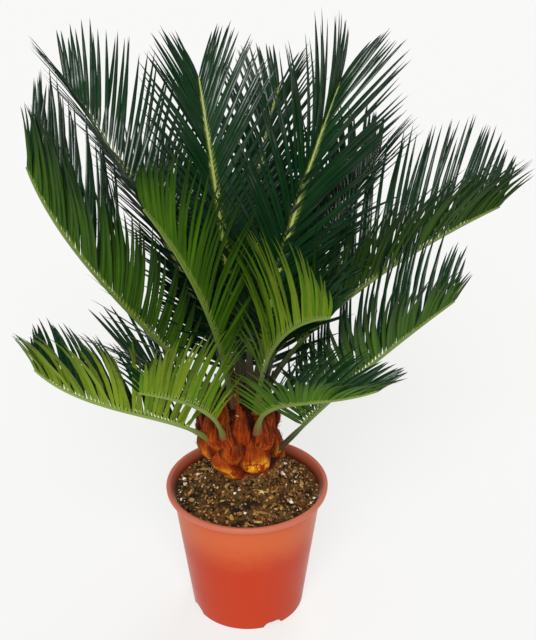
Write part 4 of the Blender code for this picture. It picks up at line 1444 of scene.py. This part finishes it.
@dataclass
class Fronds:
    """All the fronds: a stalk each, and two rows of leaflets that Geometry Nodes place and bend."""

    blade: bpy.types.Material
    stalk: bpy.types.Material
    half_width: float = 0.0022
    bow: float = 0.03
    sickle: float = 0.07
    lengthening: float = 2.4
    droop_share: float = 0.40
    stalk_half_width: tuple[float, float] = (0.0027, 0.0009)
    stalk_depth: tuple[float, float] = (0.0030, 0.0010)
    shoulder: float = 0.0013
    tip_shoulder: float = 0.00055
    stalk_stations: int = 44
    foot_sunk: float = 0.0008
    flare: float = 0.7
    flare_reach: float = 0.16
    clearance: float = 0.0006
    turns: tuple[float, ...] = (4.0, 8.0, 12.0)
    shorter: tuple[float, ...] = (1.0, 0.85)
    ribbon_width: float = 0.8
    ribbon_parts: tuple[float, float] = (0.35, 0.7)
    stagger: float = 0.12
    unevenness: tuple[float, float, float, float] = (2.2, 2.0, 0.055, 0.35)
    fresh_spread: float = 0.05

    def make_tree(self) -> NodesTree:
        """The tree that sets a blade on each point, bends it, and joins the stalk to them."""
        made = NodesTree("Pinnate frond", Blade="Object", Stalk="Object", Half_Width="Float", Bow="Float",
                         Sickle="Float", Blade_Finish="Material", Stalk_Finish="Material")
        wiring, inside = made.wiring, made.inside
        axis, flat, along = (made.attribute(name, "FLOAT_VECTOR") for name in ("axis", "flat", "along"))
        reach = made.attribute("reach")
        part = made.attribute("part")
        stand = wiring.add("FunctionNodeAxesToRotation", {0: axis, 1: flat},
                           primary_axis="Y", secondary_axis="Z")
        size = wiring.xyz(inside["Half Width"], reach, inside["Half Width"])
        blades = made.copies(inside["Geometry"], inside["Blade"], stand.outputs[0], size)
        hump = wiring.times(wiring.times(part, wiring.minus(1.0, part)), 4.0)
        arch = wiring.times(inside["Bow"], made.attribute("arch"))
        lift = wiring.times(wiring.times(hump, reach), arch)
        hook = wiring.times(wiring.times(wiring.times(part, part), reach), inside["Sickle"])
        bent = made.moved(blades, made.summed(made.scaled(flat, lift), made.scaled(along, hook)))
        stalk = wiring.add("GeometryNodeObjectInfo", {0: inside["Stalk"]})
        joined = wiring.add("GeometryNodeJoinGeometry")
        wiring.feed(joined.inputs[0], stalk.outputs["Geometry"])
        wiring.feed(joined.inputs[0], bent)
        whole = wiring.add("GeometryNodeRealizeInstances", {0: joined.outputs[0]})
        is_blade = wiring.math("GREATER_THAN", reach, 0.0)
        with_stalk = made.dressed(whole.outputs[0], inside["Stalk Finish"])
        wiring.feed(made.result, made.dressed(with_stalk, inside["Blade Finish"], is_blade))
        return made

    def make_unit(self) -> bpy.types.Object:
        """One leaflet of half width 1 and length 1: an arched blade with a rib below, narrow at its foot."""
        stations = [(-0.012, 0.36), (0.03, 0.55), (0.12, 0.92), (0.34, 1.0), (0.56, 0.90), (0.75, 0.66),
                    (0.90, 0.34)]
        across = [-1.0, -0.55, 0.0, 0.55, 1.0]
        drop = [-0.34, -0.08, -0.03, -0.08, -0.34]
        rib = -0.27
        bm = bmesh.new()
        uv = bm.loops.layers.uv.new("UVMap")
        part = bm.verts.layers.float.new("part")
        rings = []
        for place, width in stations:
            depth = min(1.0, width * 1.1)
            ring = [bm.verts.new((x * width, place, z * depth)) for x, z in zip(across, drop)]
            ring.append(bm.verts.new((0.0, place, rib * depth)))
            for vertex in ring:
                vertex[part] = max(0.0, place)
            rings.append(ring)
        tip = bm.verts.new((0.0, 1.0, -0.05))
        tip[part] = 1.0
        places = [*across, 0.0]

        def face(corners: list[tuple[bmesh.types.BMVert, float, float]], lower: bool) -> None:
            """Add a face whose corners are each a point with its place across and along."""
            made = bm.faces.new([corner[0] for corner in corners])
            for loop, (_, x, y) in zip(made.loops, corners):
                loop[uv].uv = ((x + 1) / 4 * 0.96 + 0.01 + (0.5 if lower else 0.0), max(0.0, y))

        for (near, _), (far, _), low, high in zip(stations, stations[1:], rings, rings[1:]):
            for i in range(6):
                j = (i + 1) % 6
                corners = [(low[i], places[i], near), (high[i], places[i], far),
                           (high[j], places[j], far), (low[j], places[j], near)]
                face(corners[::-1], i >= 4)
        last = stations[-1][0]
        for i in range(6):
            j = (i + 1) % 6
            face([(rings[-1][j], places[j], last), (tip, 0.0, 1.0), (rings[-1][i], places[i], last)], i >= 4)
        face([(rings[0][i], places[i], 0.0) for i in range(6)], True)
        return from_bmesh("unit_leaflet", bm, smooth=True)

    def make_stalk(self, name: str, curve: Curve) -> bpy.types.Object:
        """The petiole and rachis: flat and slightly grooved above, keeled below.

        Args:
            name: The object's name.
            curve: The frond's path.

        Returns:
            The object.
        """
        start = curve.leafy(0.0)
        places = [-1.0, -0.5, *np.linspace(0.0, 1.0, self.stalk_stations)]
        bm = bmesh.new()
        uv = bm.loops.layers.uv.new("UVMap")
        fresh = bm.verts.layers.float.new("fresh")
        rings = []
        for place in places:
            position, _, up, side = curve.at(place)
            part = max(0.0, place)
            bare = 1 - smooth_step(place, start * 0.6, start)
            flare = 1 + self.flare * (1 - smooth_step(place, 0.0, self.flare_reach))
            width = between(self.stalk_half_width, part) * flare
            depth = between(self.stalk_depth, part)
            top = self.tip_shoulder + (self.shoulder - self.tip_shoulder) * bare
            section = [
                (-0.80, top), (0.0, top * 0.75), (0.80, top), (1.0, 0.3 * top), (0.86, -top),
                (0.42, -top - 0.75 * depth), (0.0, -top - depth), (-0.42, -top - 0.75 * depth),
                (-0.86, -top), (-1.0, 0.3 * top),
            ]
            ring = [bm.verts.new(position + side * width * x + up * z) for x, z in section]
            for vertex in ring:
                vertex[fresh] = curve.shape.fresh
            rings.append(ring)
        count = len(rings[0])
        rows = list(zip(rings, places))
        for (low, near), (high, far) in zip(rows, rows[1:]):
            for i in range(count):
                j = (i + 1) % count
                made = bm.faces.new((low[i], low[j], high[j], high[i]))
                corners = ((i, near), (i + 1, near), (i + 1, far), (i, far))
                for loop, (corner, place) in zip(made.loops, corners):
                    loop[uv].uv = (corner / count, place)
        for ring, place in (rows[0], rows[-1]):
            for loop in bm.faces.new(ring).loops:
                loop[uv].uv = (0.5, place)
        return from_bmesh(name, bm, smooth=True)

    def leaflet(self, curve: Curve, part: float, side: int, vee: float, angle: float, scale: float,
                bend: float) -> Leaflet:
        """One leaflet by the frond's rule.

        Args:
            curve: The frond's path.
            part: Where it stands, from 0 to 1 along the leafy stretch.
            side: 1 for the right row and -1 for the left one.
            vee: Degrees added to how far it stands up.
            angle: Degrees added to its angle to the stalk.
            scale: Its length against the rule's.
            bend: Its arch against the frond's.

        Returns:
            The leaflet.
        """
        shape = curve.shape
        position, along, up, across = curve.at(curve.leafy(part))
        hang = shape.droop * max(0.0, 1 - part / self.droop_share) if side > 0 else 0.0
        rise = math.radians(shape.vee + vee - hang)
        lean = math.radians(shape.low + (shape.high - shape.low) * part + angle)
        out = across * side * math.cos(rise) + up * math.sin(rise)
        axis = along * math.cos(lean) + out * math.sin(lean)
        flat = up * math.cos(rise) - across * side * math.sin(rise)
        fade = max(0.0, (part - shape.full) / (1 - shape.full))
        reach = shape.longest / 1000 * min(1.0, shape.first + self.lengthening * part)
        reach *= 1 - (1 - shape.tip) * fade**2
        reach *= scale * (shape.left if side < 0 else 1.0)
        width = between(self.stalk_half_width, curve.leafy(part)) - self.foot_sunk
        return Leaflet(position + across * side * width, axis, flat, along, reach, shape.arch * bend)

    def ribbon(self, leaflet: Leaflet, foot: float, across: Vector) -> list[Vector]:
        """The leaflet as a thin ribbon, to test what it meets.

        Args:
            leaflet: The leaflet.
            foot: Where the ribbon starts, from 0 to 1 along the leaflet.
            across: The way from its middle line to its edge.

        Returns:
            Three pairs of points from the foot up, and the tip.
        """
        points = []
        for part in (foot, *self.ribbon_parts):
            middle = leaflet.point(part, self.bow, self.sickle)
            points += [middle - across, middle + across]
        return [*points, leaflet.point(1.0, self.bow, self.sickle)]

    def is_clear(self, leaflet: Leaflet, blocked: list[BVHTree]) -> bool:
        """Whether the leaflet, made a little wider, touches nothing that is blocked."""
        across = leaflet.axis.cross(leaflet.flat) * (self.half_width * self.ribbon_width + self.clearance)
        tree = BVHTree.FromPolygons(self.ribbon(leaflet, 0.05, across), RIBBON_FACES)
        return not any(other.overlap(tree) for other in blocked)

    def clear_leaflet(self, curve: Curve, part: float, side: int, jitter: np.ndarray,
                      blocked: list[BVHTree]) -> Leaflet:
        """The leaflet as near its own place as it goes without touching what is blocked.

        Args:
            curve: The frond's path.
            part: Where it stands, from 0 to 1 along the leafy stretch.
            side: 1 for the right row and -1 for the left one.
            jitter: Its own small turns in degrees, and its own length and arch less 1.
            blocked: What it may not touch.

        Returns:
            The leaflet, in its own place if no free one is found.
        """
        tries = [(0.0, 0.0, 1.0)]
        for scale in self.shorter:
            for turn in self.turns:
                tries += [(turn, 0.0, scale), (-turn, 0.0, scale), (0.0, -turn, scale), (0.0, turn, scale),
                          (turn, -turn, scale)]
        first = None
        for vee, angle, scale in tries:
            made = self.leaflet(curve, part, side, vee + jitter[0], angle + jitter[1],
                                scale * (1 + jitter[2]), 1 + jitter[3])
            if self.is_clear(made, blocked):
                return made
            first = first or made
        return first

    def make_frond(self, number: int, curve: Curve, tree: NodesTree, unit: bpy.types.Object,
                   blocked: list[BVHTree]) -> BVHTree:
        """Build one frond and hand it over.

        Args:
            number: The frond's number, from 1.
            curve: Its path.
            tree: The tree that places the leaflets.
            unit: The shape of one leaflet.
            blocked: What its leaflets may not touch.

        Returns:
            Its leaflets, for the next fronds to keep clear of.
        """
        name = f"frond_{number:02d}"
        count = round((1 - curve.leafy(0.0)) * curve.length * 1000 / curve.shape.pitch)
        random = np.random.default_rng(number)
        leaflets = []
        for index in range(count):
            for side in (1, -1):
                part = (index + 0.5 + self.stagger * side) / count
                jitter = random.normal(0.0, self.unevenness)
                leaflets.append(self.clear_leaflet(curve, part, side, jitter, blocked))
        mesh = bpy.data.meshes.new(name)
        mesh.from_pydata([leaflet.foot for leaflet in leaflets], [], [])
        for key in ("axis", "flat", "along"):
            values = np.array([getattr(leaflet, key) for leaflet in leaflets], dtype=np.float32)
            mesh.attributes.new(key, "FLOAT_VECTOR", "POINT").data.foreach_set("vector", values.ravel())
        hold(mesh, "reach", [leaflet.reach for leaflet in leaflets])
        hold(mesh, "arch", [leaflet.arch for leaflet in leaflets])
        hold(mesh, "tone", random.random(len(leaflets)))
        fresh = curve.shape.fresh + random.normal(0.0, self.fresh_spread, len(leaflets))
        hold(mesh, "fresh", np.clip(fresh, 0.0, 1.0))
        stalk = self.make_stalk("stalk", curve)
        piece = link(f"sago_{name}", mesh)
        tree.apply(piece, Blade=unit, Stalk=stalk, Half_Width=self.half_width, Bow=self.bow,
                   Sickle=self.sickle, Blade_Finish=self.blade, Stalk_Finish=self.stalk)
        discard(stalk)
        soften(piece.data, 50.0)
        hand_over(piece, Slot.FROND, name)
        points, faces = [], []
        for leaflet in leaflets:
            across = leaflet.axis.cross(leaflet.flat) * self.half_width * self.ribbon_width
            faces += [tuple(len(points) + i for i in face) for face in RIBBON_FACES]
            points += self.ribbon(leaflet, 0.0, across)
        return BVHTree.FromPolygons(points, faces)

    def build(self) -> None:
        """Make every frond."""
        tree = self.make_tree()
        unit = self.make_unit()
        curves = [Curve(shape) for shape in FRONDS]
        stalks = []
        for curve in curves:
            stalk = self.make_stalk("probe", curve)
            stalks.append(mesh_tree(stalk.data))
            discard(stalk)
        solids = [mesh_tree(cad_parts[node].data) for node in ("pot", "soil", "caudex")]
        grown = []
        for index, curve in enumerate(curves):
            others = stalks[:index] + stalks[index + 1:]
            grown.append(self.make_frond(index + 1, curve, tree, unit, solids + others + grown))
        discard(unit)


@dataclass
class Studio:
    """The camera, a pale floor and soft frontal light."""

    camera_place: tuple[float, float, float] = (0.022, -0.983, 0.830)
    look_down: float = 26.55
    image_height: int = 640
    focal_pixels: float = 1123.0
    sensor: float = 36.0
    floor_reach: float = 14.0
    floor_colour: Colour = (0.28, 0.282, 0.278)
    floor_glow: float = 0.64
    sky: float = 0.34
    key: float = 2.75
    key_angle: float = 40.0
    key_tilt: tuple[float, float] = (52.0, -3.0)
    back: float = 0.75
    back_angle: float = 22.0
    back_tilt: tuple[float, float] = (-38.0, -20.0)

    def make_camera(self) -> None:
        """A camera at the photograph's viewing angle."""
        data = bpy.data.cameras.new("camera")
        data.sensor_width = self.sensor
        data.lens = self.focal_pixels / self.image_height * self.sensor
        camera = bpy.data.objects.new("camera", data)
        camera.location = self.camera_place
        camera.rotation_euler = (math.radians(90 - self.look_down), 0.0, 0.0)
        bpy.context.scene.collection.objects.link(camera)
        bpy.context.scene.camera = camera

    def make_floor(self) -> None:
        """A plain pale floor."""
        bm = bmesh.new()
        bmesh.ops.create_grid(bm, x_segments=1, y_segments=1, size=self.floor_reach)
        finish = Finish("pale_floor")
        finish.set(Base_Color=self.floor_colour, Roughness=0.9, Specular_IOR_Level=0.1,
                   Emission_Color=(1.0, 1.0, 0.985), Emission_Strength=self.floor_glow)
        from_bmesh("floor", bm, finish.material)

    def make_light(self) -> None:
        """White surroundings, a broad soft key from the front and a weaker light from behind."""
        world = bpy.data.worlds.new("surroundings")
        world.use_nodes = True
        background = world.node_tree.nodes["Background"]
        background.inputs[0].default_value = (1.0, 1.0, 0.99, 1.0)
        background.inputs[1].default_value = self.sky
        bpy.context.scene.world = world
        self.add_sun("key", self.key, self.key_angle, self.key_tilt)
        self.add_sun("back", self.back, self.back_angle, self.back_tilt)

    def add_sun(self, name: str, energy: float, angle: float, tilt: tuple[float, float]) -> None:
        """Add a distant light.

        Args:
            name: The light's name.
            energy: How strong it is.
            angle: How wide it is in degrees, which softens its shadows.
            tilt: How far it leans from straight above and its heading, in degrees.
        """
        data = bpy.data.lights.new(name, "SUN")
        data.energy = energy
        data.angle = math.radians(angle)
        sun = bpy.data.objects.new(name, data)
        sun.rotation_euler = (math.radians(tilt[0]), 0.0, math.radians(tilt[1]))
        bpy.context.scene.collection.objects.link(sun)

    def build(self) -> None:
        """Set the stage."""
        self.make_camera()
        self.make_floor()
        self.make_light()
        bpy.context.scene.view_settings.view_transform = "Standard"


def main() -> None:
    """Build every sub-assembly around the frame, in order."""
    logging.basicConfig(level=logging.INFO, format="%(message)s")
    Studio().build()
    Pot(PotPlastic().make()).build()
    crumb = Grain("soil_crumb", (0.012, 0.006, 0.002), (0.160, 0.066, 0.017), (0.460, 0.250, 0.080)).make()
    Soil(
        mix=PottingMix().make(),
        crumb=crumb,
        bark=Grain("bark_bit", (0.060, 0.022, 0.007), (0.250, 0.115, 0.034), (0.560, 0.370, 0.130)).make(),
        perlite=Grain("perlite", (0.44, 0.33, 0.21), (0.82, 0.78, 0.70), (0.92, 0.91, 0.88)).make(),
        straw=Grain("dry_straw", (0.25, 0.16, 0.05), (0.48, 0.34, 0.11), (0.72, 0.58, 0.22)).make(),
        clay=Grain("clay_chip", (0.16, 0.045, 0.028), (0.34, 0.130, 0.085), (0.50, 0.260, 0.190)).make(),
    ).build()
    Trunk(LeafBaseFelt().make(), crumb).build()
    Fronds(BladeGreen().make(), StalkGreen().make()).build()


if __name__ == "__main__":
    main()
